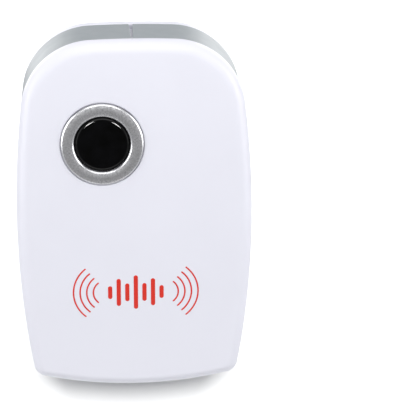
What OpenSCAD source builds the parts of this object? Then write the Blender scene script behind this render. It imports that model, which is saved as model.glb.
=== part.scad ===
// Plug-in ultrasonic pest repeller, in millimetres.
// +X is to the right and +Z is up as the device hangs on a wall. The wall face is the plane
// Y = 0, the front faces -Y, and the origin lies midway between the two plug blades.

/* [Body] */
// Width of the body
body_w = 60; // [58:1:76]
// Length of the body, from its wide lower end to its narrow upper end
body_h = 93; // [90:1:112]
// Height of the plug above the lower end
plug_up = 13.5; // [13:0.5:17]
// Height of the widest place above the lower end
widest_up = 46; // [42:0.5:50]
// Depth of the front cover, from the side band to the crown of its face
front_d = 7; // [7:0.1:9]
// Width of the side band, from front to back
band_w = 15.5; // [14.5:0.5:19]
// Depth of the rear housing behind the side band
rear_d = 9; // [8.5:0.5:11]
// Radius of the long sides
side_r = 250; // [220:10:500]
// Radius of the lower end
lower_r = 250; // [200:10:300]
// Radius of the upper end
upper_r = 110; // [90:10:250]
// Radius of the two lower corners
lower_corner_r = 18.5; // [14:0.5:19]
// Radius of the two upper corners
upper_corner_r = 3.5; // [3:0.5:8]
// Fall of the face from its crown to the two ends
crown_len = 3.2; // [1:0.1:3.3]
// Fall of the face from its crown to the two sides
crown_wid = 0.8; // [0.2:0.1:1.2]
// Rounding of the front edge
front_edge_r = 3; // [1.5:0.1:3.1]
// Rounding of the rear edge
rear_edge_r = 7; // [5:0.5:7.5]

/* [Walls and joints] */
// Wall of the front cover's face
face_wall = 2; // [1.6:0.1:2.4]
// Wall of the rear housing's back
rear_wall = 2.2; // [1.8:0.1:2.6]
// Wall of the skirts under the side band
skirt_wall = 1.3; // [1:0.1:1.6]
// Wall of the tongue that centres the two housings
tongue_wall = 0.95; // [0.8:0.05:1.2]
// Length of the tongue past the joint
tongue_len = 2.6; // [2:0.1:4]
// Gap between pieces that fit together
fit_gap = 0.1; // [0.05:0.05:0.15]
// How far the side band lies inside the front cover's outline
band_inset = 0.25; // [0.1:0.05:0.5]
// How far the rear housing lies inside the front cover's outline
rear_inset = 0.3; // [0.1:0.05:0.6]
// Thickness of the side band
band_t = 1.2; // [0.8:0.1:1.5]
// Gap between the band's two ends at its front edge
seam_front = 0.35; // [0.2:0.05:1]
// Gap between the band's two ends at its rear edge
seam_rear = 1; // [0.4:0.1:2]
// Width of the two snap lugs at the lower end
lug_w = 5; // [4:0.5:7]
// Distance of each snap lug from the middle
lug_x = 8; // [7:0.5:10]

/* [Window] */
// Distance of the window to the right of the middle
window_x = 8.1; // [7:0.1:10]
// Height of the window above the lower end
window_up = 25.8; // [25.5:0.1:28]
// Diameter of the metal ring
ring_d = 20.8; // [19:0.1:23]
// Diameter of the window
lens_d = 14.2; // [12:0.1:15]
// How far the ring stands proud of the face
ring_proud = 0.45; // [0.2:0.05:0.8]
// Depth of the ring's seat in the face
ring_seat = 0.8; // [0.5:0.05:1]
// Rounding of the window's edge
lens_edge_r = 1.1; // [0.5:0.1:1.5]

/* [Plug] */
// Width of a blade
blade_w = 6.35; // [6.1:0.05:6.5]
// Thickness of a blade
blade_t = 1.5; // [1.4:0.05:1.6]
// Distance between the two blades' middles
blade_gap = 12.7; // [12.7:0.1:15.3]
// Length of a blade outside the wall face
blade_len = 17; // [15.9:0.1:18.2]
// Diameter of the hole in a blade
blade_hole_d = 3.2; // [3:0.1:3.4]
// Distance of the hole from the wall face
blade_hole_y = 11.8; // [11:0.1:12.5]
// Radius of a blade's tip
blade_tip_r = 5; // [3.5:0.1:8]
// Width of the shoulder that holds a blade in the housing
shoulder_w = 10; // [8:0.5:10.5]
// Width of a blade's solder tail
tail_w = 3; // [2:0.1:4]

/* [Screws] */
// Radius of the self-tapping screws' shanks
screw_r = 0.95; // [0.8:0.05:1.1]
// Distance of the case screws from the middle
case_screw_x = 16.5; // [16:0.5:18]
// Distance of the case screws from the upper end
case_screw_down = 12.5; // [11:0.5:14]

/* [Board] */
// Width of the circuit board
board_w = 44; // [42:0.5:46]
// Length of the circuit board
board_h = 46; // [46:0.5:48]
// Thickness of the circuit board
board_t = 1.6; // [1:0.1:1.6]
// Height of the board's lower edge above the plug's middle
board_up = 9; // [8.5:0.5:9.5]
// Height of the studs that the board stands on
board_stand = 5.8; // [5:0.1:6]

/* [Sounder] */
// Outer diameter of the sounder's case
sounder_d = 19; // [17:0.5:19.5]
// Depth of the sounder's case
sounder_h = 7; // [6:0.5:9]
// Thickness of the foam gasket between the sounder and the end wall
gasket_t = 1.8; // [1:0.1:3]
// Number of sound slots in the upper end
slot_count = 5; // [3:2:5]
// Width of a sound slot
slot_w = 1.6; // [1:0.1:2]
// Length of a sound slot, from front to back
slot_l = 8; // [6:0.5:9]
// Distance between two sound slots
slot_pitch = 3; // [2.6:0.1:3]

/* [Printed mark] */
// Distance of the mark's middle from the upper end
mark_down = 27.4; // [22:0.1:30]
// Thickness of the printed film
film_t = 0.3; // [0.1:0.05:0.4]

/* [Hidden] */
$fn = 48;

body_d = front_d + band_w + rear_d;
z_low = -plug_up;
z_high = body_h - plug_up;
z_mid = (z_low + z_high) / 2;
y_rear_part = -rear_d;
y_front_part = -rear_d - band_w;
skirt_out = band_inset + band_t + fit_gap;
skirt_in = skirt_out + skirt_wall;
tongue_out = skirt_in + fit_gap;
tongue_in = tongue_out + tongue_wall;
y_joint = (y_rear_part + y_front_part) / 2;
y_tongue = y_joint - tongue_len;
inner_edge_r = 3.3;

// Steps in each arc of the outline, and in each rounding
end_steps = 3;
lower_corner_steps = 8;
side_steps = 8;
upper_corner_steps = 4;
edge_steps = 5;
least_corner_r = 1.2;
dome_shares = [0.2, 0.4, 0.6, 0.8];

pilot_gap = 0.05;
hole_gap = 0.3;
stud_r = 2.5;
post_r = 4;
boss_r = 3;
case_screw_z = z_high - case_screw_down;
y_screw_seat = -5;
case_screw_len = 16;
retainer_screw_x = blade_gap / 2 + 8.15;
retainer_t = 2.5;
shoulder_t = 2.4;
y_retainer = -rear_wall - shoulder_t - fit_gap;
retainer_w = 2 * retainer_screw_x + 7;
retainer_h = 12;
y_tail_end = y_retainer - retainer_t - 3.4;

y_board_back = -rear_wall - board_stand;
y_board = y_board_back - board_t;
board_z = board_up + board_h / 2;
board_screw_x = board_w / 2 - 3;
board_screw_low = board_up + 3;
board_screw_high = board_up + board_h - 3;

window_z = z_low + window_up;
window_hole_r = lens_d / 2 + fit_gap;
pad_t = 1.2;
seat_depth = face_wall + pad_t;
flange_r = lens_d / 2 + 1.5;
flange_t = 1;
collar_wall = 1.4;
collar_h = 3;
led_top_depth = seat_depth + flange_t + 0.6;
led_r = 2.5;
led_h = 8.6;

sounder_y = (y_rear_part + y_front_part) / 2;
y_case_pads = -15;
sounder_top = z_high - tongue_in - gasket_t - 0.55;
sounder_wall = 1.2;
piezo_r = sounder_d / 2 - 2;
lead_r = 0.35;

mark_z = z_high - mark_down;
mark_proud = 0.05;
mark_gap = 0.03;
// The mark's bars, with their heights from the middle one outwards
bar_pitch = 2.2;
bar_w = 1.1;
bar_heights = [9.4, 5, 7.6, 3.6];
// The mark's arcs, drawn about a point on each side of its middle
arc_x = 7.4;
arc_radii = [3.5, 5.2, 6.9, 8.6];
arc_half = 50;
arc_w = 0.4;

label_w = 24;
label_h = 14;
label_z = 40;
label_seat = 0.3;
label_t = 0.15;

// Each part's middle on the board, as X and height above the board's lower edge, and the
// distance between its leads
fuse_at = [-10, 8];
fuse_pitch = 16;
bleed_at = [-11.5, 12.6];
bleed_pitch = 8.5;
dropper_at = [-11.5, 19];
dropper_pitch = 12;
diode_at = [-18.5, 29.5];
diode_pitch = 4;
diode_lead_pitch = 9;
zener_at = [-2.5, 29.5];
zener_pitch = 8;
smoothing_at = [4, 19];
smoothing_pitch = 3;
filter_at = [12.5, 16.5];
filter_pitch = 2;
chip_at = [13, 27.5];
chip_leg_x = [-3.8, -1.3, 1.3, 3.8];
chip_leg_y = 3.8;
timing_at = [18.5, 14];
coupling_at = [-3.2, 39.5];
disc_pitch = 4;
transistor_at = [[2.8, 33.4], [2.8, 28.2]];
transistor_pitch = 1.27;
inductor_at = [12.5, 38.5];
resistor_at = [[-11, 36.5], [-11, 39.5], [-11, 42.5], [3.6, 41.3]];
resistor_pitch = 9;
led_pitch = 2.54;
sounder_wire_x = 3;
sounder_pad_up = 44.5;

// Each mains wire's way from its blade's tail to its pad on the board
live_route = [
    [-blade_gap / 2, -10.7, 0], [-blade_gap / 2, -13.6, 0],
    [-blade_gap / 2 - 0.65, -15.4, 2], [-8.6, -15.6, 5.4],
    [-10.4, -14.2, board_up - 0.4], [-11, -11.6, board_up + 2], [-11, -9.7, board_up + 2.5]
];
neutral_route = [
    [blade_gap / 2, -10.7, 0], [blade_gap / 2, -13.6, 0],
    [blade_gap / 2 - 0.95, -15.4, 2], [3.2, -15.6, 5.4],
    [0.6, -14.2, board_up - 0.4], [0, -11.6, board_up + 2], [0, -9.7, board_up + 2.5]
];

// --- Outline -----------------------------------------------------------------------

// Points on an arc, without its last one
function arc(c, r, a, b, n) = [for (i = [0:n - 1]) let (t = a + (b - a) * i / n) c + r * [cos(t), sin(t)]];

// The place where two circles cross, on the side that the sign picks
function crossing(c1, r1, c2, r2, side) =
    let (v = c2 - c1, l = norm(v), a = (r1 * r1 - r2 * r2 + l * l) / (2 * l), h = sqrt(r1 * r1 - a * a))
    c1 + a * v / l + side * h * [-v[1], v[0]] / l;

function angle(v) = atan2(v[1], v[0]);

// The right half of the body's outline in X and Z, set in by d, from the lower end upwards:
// two end arcs and a side arc, joined by corner arcs that touch both of their neighbours
function half_outline(d) =
    let (
        rs = side_r - d,
        rl = lower_r - d,
        ru = upper_r - d,
        rcl = max(lower_corner_r - d, least_corner_r),
        rcu = max(upper_corner_r - d, least_corner_r),
        cs = [body_w / 2 - side_r, z_low + widest_up],
        cl = [0, z_low + lower_r],
        cu = [0, z_high - upper_r],
        fl = crossing(cs, rs - rcl, cl, rl - rcl, -1),
        fu = crossing(cs, rs - rcu, cu, ru - rcu, 1)
    )
    concat(
        arc(cl, rl, -90, angle(fl - cl), end_steps),
        arc(fl, rcl, angle(fl - cl), angle(fl - cs), lower_corner_steps),
        arc(cs, rs, angle(fl - cs), angle(fu - cs), side_steps),
        arc(fu, rcu, angle(fu - cs), angle(fu - cu), upper_corner_steps),
        arc(cu, ru, angle(fu - cu), 90, end_steps),
        [[0, z_high - d]]
    );

function outline(d) =
    let (h = half_outline(d), n = len(h))
    concat(h, [for (i = [n - 2:-1:1]) [-h[i][0], h[i][1]]]);

// How far the face has fallen from its crown at a point of X and Z
function fall(p) =
    crown_len * pow((p[1] - z_mid) / (body_h / 2), 2) + crown_wid * pow(p[0] / (body_w / 2), 2);

// --- Rings and lofts ---------------------------------------------------------------

// An outline at one depth
function flat_ring(d, y) = [for (p = outline(d)) [p[0], y, p[1]]];
// An outline that follows the domed face, at a distance behind it
function domed_ring(d, behind) = [for (p = outline(d)) [p[0], fall(p) - body_d + behind, p[1]]];
// A domed outline drawn in towards the middle of the face
function shrunk_ring(d, share, behind) = [
    for (q = outline(d)) let (p = [q[0] * share, z_mid + (q[1] - z_mid) * share])
    [p[0], fall(p) - body_d + behind, p[1]]
];

// A closed skin through rings, of which the first faces -Y and the last faces +Y. A dome's
// end is closed by a fan around its middle point, and a flat end by one face.
module loft(rings, first_middle = undef, last_middle = undef) {
    n = len(rings[0]);
    m = len(rings);
    points = concat(
        [for (r = rings) each r],
        is_undef(first_middle) ? [] : [first_middle],
        is_undef(last_middle) ? [] : [last_middle]
    );
    walls = [
        for (k = [0:m - 2], i = [0:n - 1])
        let (a = k * n + i, b = k * n + (i + 1) % n)
        each [[a, b, b + n], [a, b + n, a + n]]
    ];
    first = is_undef(first_middle)
        ? [[for (i = [n - 1:-1:0]) i]]
        : [for (i = [0:n - 1]) [m * n, (i + 1) % n, i]];
    last_at = m * n + (is_undef(first_middle) ? 0 : 1);
    last = is_undef(last_middle)
        ? [[for (i = [0:n - 1]) (m - 1) * n + i]]
        : [for (i = [0:n - 1]) [last_at, (m - 1) * n + i, (m - 1) * n + (i + 1) % n]];
    polyhedron(points, concat(walls, first, last), convexity = 6);
}

// --- Placing -----------------------------------------------------------------------

// A flat shape in X and Z, given depth towards the front from the plane y
module plate(y, depth) {
    translate([0, y, 0]) rotate([90, 0, 0]) linear_extrude(depth) children();
}
// A round post that grows towards the front from the plane y
module post(x, z, y, length, r) {
    translate([x, y, z]) rotate([90, 0, 0]) cylinder(h = length, r = r);
}
// Local Z points out of the domed face at a point of X and Z
module on_face(x, z) {
    slope_z = atan(2 * crown_len * (z - z_mid) / pow(body_h / 2, 2));
    slope_x = atan(2 * crown_wid * x / pow(body_w / 2, 2));
    translate([x, fall([x, z]) - body_d, z]) rotate([90 - slope_z, 0, slope_x]) children();
}
module on_window() {
    on_face(window_x, window_z) children();
}
// Local Z points up out of the circuit board at a part's middle
module on_board(at) {
    translate([at[0], y_board, board_up + at[1]]) rotate([90, 0, 0]) children();
}
module at_case_screws() {
    for (side = [-1, 1]) translate([side * case_screw_x, 0, case_screw_z]) children();
}
module at_board_screws() {
    for (side = [-1, 1], z = [board_screw_low, board_screw_high])
        translate([side * board_screw_x, 0, z]) children();
}
module at_retainer_screws() {
    for (side = [-1, 1]) translate([side * retainer_screw_x, 0, 0]) children();
}

// --- Shapes ------------------------------------------------------------------------

module rounded_rectangle(w, h, r) {
    square([w - 2 * r, h], center = true);
    square([w, h - 2 * r], center = true);
    for (x = [-1, 1], y = [-1, 1]) translate([x * (w / 2 - r), y * (h / 2 - r)]) circle(r);
}

// A pan-head self-tapping screw, its head's underside at the origin and its tip towards -Z
module screw(length, head_r, head_h) {
    tip = 1.2;
    slot = head_r * 0.28;
    difference() {
        union() {
            cylinder(h = head_h * 0.5, r = head_r);
            translate([0, 0, head_h * 0.5]) cylinder(h = head_h * 0.5, r1 = head_r, r2 = head_r * 0.7);
            translate([0, 0, tip - length]) cylinder(h = length - tip, r = screw_r);
            translate([0, 0, -length]) cylinder(h = tip, r1 = 0.15, r2 = screw_r);
        }
        for (a = [0, 90]) rotate(a)
            translate([-head_r * 0.6, -slot / 2, head_h * 0.45]) cube([head_r * 1.2, slot, head_h]);
    }
}

// Points of a smooth curve through p, with n steps between two of them
function curve(p, n) = [
    for (i = [0:len(p) - 2], k = [0:n - 1])
    let (
        t = k / n,
        a = p[max(i - 1, 0)],
        b = p[i],
        c = p[i + 1],
        d = p[min(i + 2, len(p) - 1)]
    )
    0.5 * (2 * b + (c - a) * t + (2 * a - 5 * b + 4 * c - d) * t * t + (3 * b - a - 3 * c + d) * t * t * t),
    p[len(p) - 1]
];

// A wire swept along points, with rings square to its way
module wire(p, r, sides = 8) {
    n = len(p);
    points = [
        for (i = [0:n - 1])
        let (
            t = p[min(i + 1, n - 1)] - p[max(i - 1, 0)],
            u = cross(t, [1, 0, 0]) / norm(cross(t, [1, 0, 0])),
            v = cross(u, t) / norm(t)
        )
        for (k = [0:sides - 1]) p[i] + r * (cos(360 * k / sides) * u + sin(360 * k / sides) * v)
    ];
    walls = [
        for (i = [0:n - 2], k = [0:sides - 1])
        let (a = i * sides + k, b = i * sides + (k + 1) % sides)
        each [[a, b, b + sides], [a, b + sides, a + sides]]
    ];
    polyhedron(
        points,
        concat(
            walls,
            [[for (k = [sides - 1:-1:0]) k]],
            [[for (k = [0:sides - 1]) (n - 1) * sides + k]]
        ),
        convexity = 4
    );
}

// --- Enclosure ---------------------------------------------------------------------

// The front edge's rounding starts on the face and ends on the side
function front_edge(i) =
    let (t = 90 * i / edge_steps)
    domed_ring(front_edge_r * (1 - sin(t)), front_edge_r * (1 - cos(t)));
function rear_edge(i) =
    let (t = 90 * i / edge_steps)
    flat_ring(rear_inset + rear_edge_r * (1 - sin(t)), -rear_edge_r * (1 - cos(t)));
function rear_inner_edge(i) =
    let (t = 90 * i / edge_steps)
    flat_ring(tongue_in + inner_edge_r * (1 - sin(t)), -rear_wall - inner_edge_r * (1 - cos(t)));

module front_shell() {
    rings = concat(
        [for (s = dome_shares) shrunk_ring(front_edge_r, s, 0)],
        [for (i = [0:edge_steps]) front_edge(i)],
        [
            flat_ring(0, y_front_part),
            flat_ring(skirt_out, y_front_part),
            flat_ring(skirt_out, y_joint),
            flat_ring(skirt_in, y_joint),
            domed_ring(skirt_in, face_wall + 1)
        ],
        [for (s = [1, 0.65, 0.3]) shrunk_ring(skirt_in + 1, s, face_wall)]
    );
    loft(rings, [0, -body_d, z_mid], [0, face_wall - body_d, z_mid]);
}

module rear_shell() {
    rings = concat(
        [for (i = [0:edge_steps]) rear_inner_edge(i)],
        [
            flat_ring(tongue_in, y_tongue),
            flat_ring(tongue_out, y_tongue),
            flat_ring(tongue_out, y_joint + fit_gap),
            flat_ring(skirt_out, y_joint + fit_gap),
            flat_ring(skirt_out, y_rear_part),
            flat_ring(rear_inset, y_rear_part)
        ],
        [for (i = [edge_steps:-1:0]) rear_edge(i)]
    );
    loft(rings);
}

module sound_slots() {
    for (i = [0:slot_count - 1])
        translate([(i - (slot_count - 1) / 2) * slot_pitch - slot_w / 2, sounder_y - slot_l / 2, z_high - 6])
            cube([slot_w, slot_l, 8]);
}

// A rib in X and Y with a round notch that holds the sounder's case
module sounder_rib(y0, y1, z, w, gap) {
    difference() {
        translate([-w / 2, min(y0, y1), z]) cube([w, abs(y1 - y0), 1.2]);
        translate([0, sounder_y, z - 1]) cylinder(h = 4, r = sounder_d / 2 + gap);
    }
}

// The snap lugs on the tongue, or the windows that they snap into
module snap_lugs(gap) {
    for (side = [-1, 1])
        translate([side * lug_x - lug_w / 2 - gap, y_joint - 1.9 - gap, z_low + skirt_out + 0.35 - 4 * gap])
            cube([lug_w + 2 * gap, 1.3 + 2 * gap, skirt_wall + 0.6 + 4 * gap]);
}

module front_cover() color("white") {
    cover_y = -body_d + face_wall;
    // The bosses end halfway through the face's wall at its nearest place
    boss_l = body_d - face_wall / 2 + y_case_pads - fit_gap
        - fall([case_screw_x + boss_r, case_screw_z + boss_r]);
    difference() {
        union() {
            front_shell();
            on_window() translate([0, 0, -seat_depth]) cylinder(h = seat_depth - 0.6, r = flange_r + collar_wall + 0.3);
            on_window() translate([0, 0, -seat_depth - collar_h]) difference() {
                cylinder(h = collar_h + 0.5, r = flange_r + collar_wall + 0.3);
                translate([0, 0, -1]) cylinder(h = collar_h + 1, r = flange_r + 0.3);
            }
            at_case_screws() post(0, 0, y_case_pads - fit_gap, boss_l, boss_r);
            sounder_rib(cover_y + 1.6, cover_y + 8, sounder_top - 4.2, sounder_d, 0.1);
        }
        on_window() translate([0, 0, -ring_seat]) cylinder(h = 4, r = ring_d / 2 + 0.25);
        on_window() translate([0, 0, -seat_depth - 1]) cylinder(h = seat_depth + 4, r = window_hole_r);
        at_case_screws() post(0, 0, 0, case_screw_len - y_screw_seat + 1, screw_r + pilot_gap);
        mark(mark_gap);
        sound_slots();
        snap_lugs(fit_gap);
    }
}

module side_band() color([0.62, 0.65, 0.67]) {
    difference() {
        plate(y_rear_part - fit_gap, band_w - 2 * fit_gap) difference() {
            polygon(outline(band_inset));
            polygon(outline(band_inset + band_t));
        }
        translate([0, 0, z_low - 1]) linear_extrude(4) polygon([
            [-seam_rear / 2, y_rear_part + 1],
            [-seam_front / 2, y_front_part - 1],
            [seam_front / 2, y_front_part - 1],
            [seam_rear / 2, y_rear_part + 1]
        ]);
        sound_slots();
    }
}

module rear_housing() color("white") {
    difference() {
        union() {
            rear_shell();
            at_case_screws() post(0, 0, -1, -1 - y_case_pads, post_r);
            at_board_screws() post(0, 0, -1, board_stand + rear_wall - 1, stud_r);
            at_retainer_screws() post(0, 0, -1, -1 - y_retainer - fit_gap, boss_r);
            for (z = [sounder_top - 6.2, sounder_top - 2.6]) sounder_rib(-1, -13, z, 24, 0.1);
            for (side = [-1, 1])
                translate([side * lug_x - lug_w / 2, y_joint - 1.9, z_low + skirt_out + 0.35])
                    cube([lug_w, 1.3, skirt_wall + 0.6]);
        }
        both_blades() translate([0, -rear_wall - 1, -blade_w / 2 - fit_gap])
            cube([blade_t + 2 * fit_gap, rear_wall + 2, blade_w + 2 * fit_gap]);
        at_case_screws() rotate([90, 0, 0]) {
            translate([0, 0, -1]) cylinder(h = 1 - y_screw_seat, r = 2.6);
            cylinder(h = 30, r = screw_r + hole_gap);
        }
        at_board_screws() post(0, 0, -1.2, 12, screw_r + pilot_gap);
        at_retainer_screws() post(0, 0, -1, 12, screw_r + pilot_gap);
        translate([0, 1, label_z]) rotate([90, 0, 0]) linear_extrude(1 + label_seat)
            rounded_rectangle(label_w, label_h, 1.5);
        sound_slots();
    }
}

module case_screws() color("silver") {
    at_case_screws() translate([0, y_screw_seat, 0]) rotate([-90, 0, 0]) screw(case_screw_len, 2.2, 1.5);
}

module rating_label() color("gainsboro") {
    plate(label_t - label_seat, label_t) translate([0, label_z])
        rounded_rectangle(label_w - 4 * fit_gap, label_h - 4 * fit_gap, 1.3);
}

// --- Window and mark ---------------------------------------------------------------

module lens_ring() color("silver") {
    r_in = lens_d / 2 + fit_gap;
    r_out = ring_d / 2;
    on_window() rotate_extrude() polygon([
        [r_in, fit_gap / 2 - ring_seat],
        [r_out, fit_gap / 2 - ring_seat],
        [r_out, ring_proud - 0.35],
        [r_out - 0.6, ring_proud],
        [r_in + 0.4, ring_proud],
        [r_in, ring_proud - 0.4]
    ]);
}

module lens() color([0.03, 0.03, 0.04]) {
    on_window() rotate_extrude() {
        translate([0, -seat_depth]) square([lens_d / 2, seat_depth - lens_edge_r]);
        translate([0, -lens_edge_r - 0.5]) square([lens_d / 2 - lens_edge_r, lens_edge_r + 0.5]);
        intersection() {
            translate([lens_d / 2 - lens_edge_r, -lens_edge_r]) circle(lens_edge_r);
            translate([0, -lens_edge_r - 0.2]) square([lens_d, lens_edge_r + 1]);
        }
        translate([0, -seat_depth - flange_t]) square([flange_r, flange_t - fit_gap / 2]);
        translate([0, -seat_depth - 0.5]) square([lens_d / 2, 1]);
    }
}

module lens_retainer() color("white") {
    on_window() translate([0, 0, -seat_depth - flange_t - fit_gap / 2 - 1.5]) difference() {
        cylinder(h = 1.5, r = flange_r + 0.25);
        translate([0, 0, -1]) cylinder(h = 4, r = lens_d / 2 - 1.5);
    }
}

// A bar of the mark with round ends
module mark_bar(w, h) {
    square([w, h], center = true);
    for (s = [-1, 1]) translate([0, s * h / 2]) circle(w / 2);
}

// An arc of the mark with round ends, which opens towards -X
module mark_arc(r, w) {
    intersection() {
        difference() {
            circle(r + w / 2);
            circle(r - w / 2);
        }
        polygon([[0, 0], 2 * r * [cos(arc_half), -sin(arc_half)], 2 * r * [cos(arc_half), sin(arc_half)]]);
    }
    for (s = [-1, 1]) rotate(s * arc_half) translate([r, 0]) circle(w / 2);
}

// The mark's film, or with a gap the shallow pocket that it fills
module film(gap) {
    translate([0, 0, mark_proud - film_t - gap]) linear_extrude(film_t + gap + (gap > 0 ? 1 : 0)) children();
}

// Upright bars like a sound's wave, between two sets of arcs
module mark(gap) {
    for (i = [0:len(bar_heights) - 1], side = i == 0 ? [1] : [-1, 1])
        on_face(side * i * bar_pitch, mark_z) film(gap) mark_bar(bar_w + 2 * gap, bar_heights[i] - bar_w);
    for (r = arc_radii, side = [-1, 1])
        on_face(side * (arc_x + r), mark_z) film(gap)
            rotate(side < 0 ? 180 : 0) translate([-r, 0]) mark_arc(r, arc_w + 2 * gap);
}

module printed_mark() color([0.87, 0.22, 0.17]) mark(0);

// --- Plug --------------------------------------------------------------------------

module both_blades() {
    for (side = [-1, 1])
        translate([side * blade_gap / 2 - (blade_t / 2 + fit_gap), 0, 0]) children();
}

// A stamped blade in Y and Z: tail, shoulder, and a blade with an arched tip
module blade(x) {
    tip_fall = blade_tip_r - sqrt(blade_tip_r * blade_tip_r - blade_w * blade_w / 4);
    tip_angle = asin(blade_w / 2 / blade_tip_r);
    translate([x - blade_t / 2, 0, 0]) rotate([90, 0, 90]) linear_extrude(blade_t) difference() {
        union() {
            translate([-rear_wall - 1, -blade_w / 2]) square([rear_wall + 1 + blade_len - tip_fall, blade_w]);
            intersection() {
                translate([blade_len - blade_tip_r, 0]) circle(blade_tip_r);
                translate([0, -blade_w / 2]) square([blade_len, blade_w]);
            }
            translate([-rear_wall - shoulder_t, -shoulder_w / 2]) square([shoulder_t - fit_gap / 2, shoulder_w]);
            translate([y_tail_end, -tail_w / 2]) square([-y_tail_end - rear_wall - 1, tail_w]);
        }
        translate([blade_hole_y, 0]) circle(blade_hole_d / 2);
        translate([y_tail_end + 1.5, 0]) circle(0.6);
    }
}

module plug_blade_left() color([0.72, 0.7, 0.66]) blade(-blade_gap / 2);
module plug_blade_right() color([0.72, 0.7, 0.66]) blade(blade_gap / 2);

module blade_retainer() color([0.85, 0.8, 0.68]) {
    difference() {
        plate(y_retainer, retainer_t) rounded_rectangle(retainer_w, retainer_h, 2);
        both_blades() translate([0, y_retainer - retainer_t - 1, -tail_w / 2 - fit_gap])
            cube([blade_t + 2 * fit_gap, retainer_t + 2, tail_w + 2 * fit_gap]);
        at_retainer_screws() translate([0, y_retainer + 1, 0]) rotate([90, 0, 0])
            cylinder(h = retainer_t + 2, r = screw_r + hole_gap);
    }
}

module retainer_screws() color("silver") {
    at_retainer_screws() translate([0, y_retainer - retainer_t, 0]) rotate([90, 0, 0]) screw(5.6, 1.9, 1.3);
}

module live_wire() color([0.12, 0.12, 0.12]) wire(curve(live_route, 2), 0.75);
module neutral_wire() color([0.9, 0.9, 0.88]) wire(curve(neutral_route, 2), 0.75);

module sleeve(x) {
    translate([x, y_tail_end + 1.8, 0]) rotate([90, 0, 0]) difference() {
        cylinder(h = 3.6, r = 2.1);
        translate([0, 0, -1]) cylinder(h = 6, r = norm([tail_w, blade_t]) / 2 + fit_gap / 2);
    }
}
module live_sleeve() color([0.15, 0.15, 0.15]) sleeve(-blade_gap / 2);
module neutral_sleeve() color([0.15, 0.15, 0.15]) sleeve(blade_gap / 2);

// --- Board -------------------------------------------------------------------------

module circuit_board() color([0.55, 0.42, 0.2]) {
    difference() {
        plate(y_board_back - fit_gap / 2, board_t - fit_gap / 2) translate([0, board_z])
            rounded_rectangle(board_w, board_h, 2);
        at_board_screws() rotate([90, 0, 0]) cylinder(h = 30, r = screw_r + hole_gap);
    }
}

module board_screws() color("silver") {
    at_board_screws() translate([0, y_board, 0]) rotate([90, 0, 0]) screw(6, 1.9, 1.3);
}

// Two leads' places on the board, beside each other or one above the other
function pair(at, pitch, upright = false) = [
    for (side = [-1, 1]) at + side * pitch / 2 * (upright ? [0, 1] : [1, 0])
];
joints = concat(
    [[live_route[6][0], live_route[6][2] - board_up], [neutral_route[6][0], neutral_route[6][2] - board_up]],
    pair(fuse_at, fuse_pitch),
    pair(bleed_at, bleed_pitch),
    pair(dropper_at, dropper_pitch),
    [for (i = [0:3]) each pair(diode_at + [i * diode_pitch, 0], diode_lead_pitch, true)],
    pair(zener_at, zener_pitch, true),
    pair(smoothing_at, smoothing_pitch),
    pair(filter_at, filter_pitch),
    [for (x = chip_leg_x, side = [-1, 1]) chip_at + [x, side * chip_leg_y]],
    pair(timing_at, disc_pitch, true),
    pair(coupling_at, disc_pitch, true),
    [for (at = transistor_at, x = [-1, 0, 1]) at + [x * transistor_pitch, 0]],
    pair(inductor_at, 5),
    [for (at = resistor_at) each pair(at, resistor_pitch)],
    pair([window_x, window_z - board_up], led_pitch),
    [for (side = [-1, 1]) [side * sounder_wire_x, sounder_pad_up]]
);
module solder_joints() color([0.75, 0.76, 0.78]) {
    for (j = joints) translate([j[0], y_board_back, board_up + j[1]]) rotate([-90, 0, 0])
        cylinder(h = 0.9, r1 = 0.85, r2 = 0.35, $fn = 24);
}

// A part on two bent leads: its body lies above the board, and local X runs along it
module axial(body_r, body_l, pitch, rest) {
    translate([0, 0, rest + body_r]) rotate([0, 90, 0]) cylinder(h = body_l, r = body_r, center = true);
    translate([0, 0, rest + body_r]) rotate([0, 90, 0]) cylinder(h = pitch, r = lead_r, center = true, $fn = 24);
    for (s = [-1, 1]) {
        translate([s * pitch / 2, 0, 0]) cylinder(h = rest + body_r, r = lead_r, $fn = 24);
        translate([s * pitch / 2, 0, rest + body_r]) sphere(lead_r, $fn = 24);
    }
}

module fuse_resistor() color([0.55, 0.6, 0.5]) on_board(fuse_at) axial(2.2, 11, fuse_pitch, 0.2);
module bleed_resistor() color([0.35, 0.55, 0.75]) on_board(bleed_at) axial(1.15, 6.3, bleed_pitch, 0.2);

module dropper_capacitor() color([0.85, 0.7, 0.15]) {
    on_board(dropper_at) {
        translate([-9, -4, 0.3]) cube([18, 8, 12]);
        for (s = [-1, 1]) translate([s * dropper_pitch / 2, 0, 0]) cylinder(h = 1, r = lead_r, $fn = 24);
    }
}

module rectifier_diode(i) color([0.12, 0.12, 0.13]) {
    on_board(diode_at + [diode_pitch * (i - 1), 0]) rotate(90) axial(1.35, 5.2, diode_lead_pitch, 0.2);
}
module rectifier_diode_1() rectifier_diode(1);
module rectifier_diode_2() rectifier_diode(2);
module rectifier_diode_3() rectifier_diode(3);
module rectifier_diode_4() rectifier_diode(4);
module zener_diode() color([0.85, 0.45, 0.25]) on_board(zener_at) rotate(90) axial(1, 4, zener_pitch, 0.2);

// A can on two leads, with the groove rolled into its foot
module can(r, h, pitch) {
    difference() {
        translate([0, 0, 0.3]) cylinder(h = h, r = r);
        translate([0, 0, 1.8]) rotate_extrude() translate([r + 0.25, 0]) circle(0.6, $fn = 24);
        translate([0, 0, h + 0.1]) cylinder(h = 1, r = r - 0.7);
    }
    for (s = [-1, 1]) translate([s * pitch / 2, 0, 0]) cylinder(h = 1, r = lead_r, $fn = 24);
}
module smoothing_capacitor() color([0.1, 0.12, 0.2]) on_board(smoothing_at) can(4, 12, smoothing_pitch);
module filter_capacitor() color([0.1, 0.12, 0.2]) on_board(filter_at) can(3.15, 11, filter_pitch);

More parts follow.
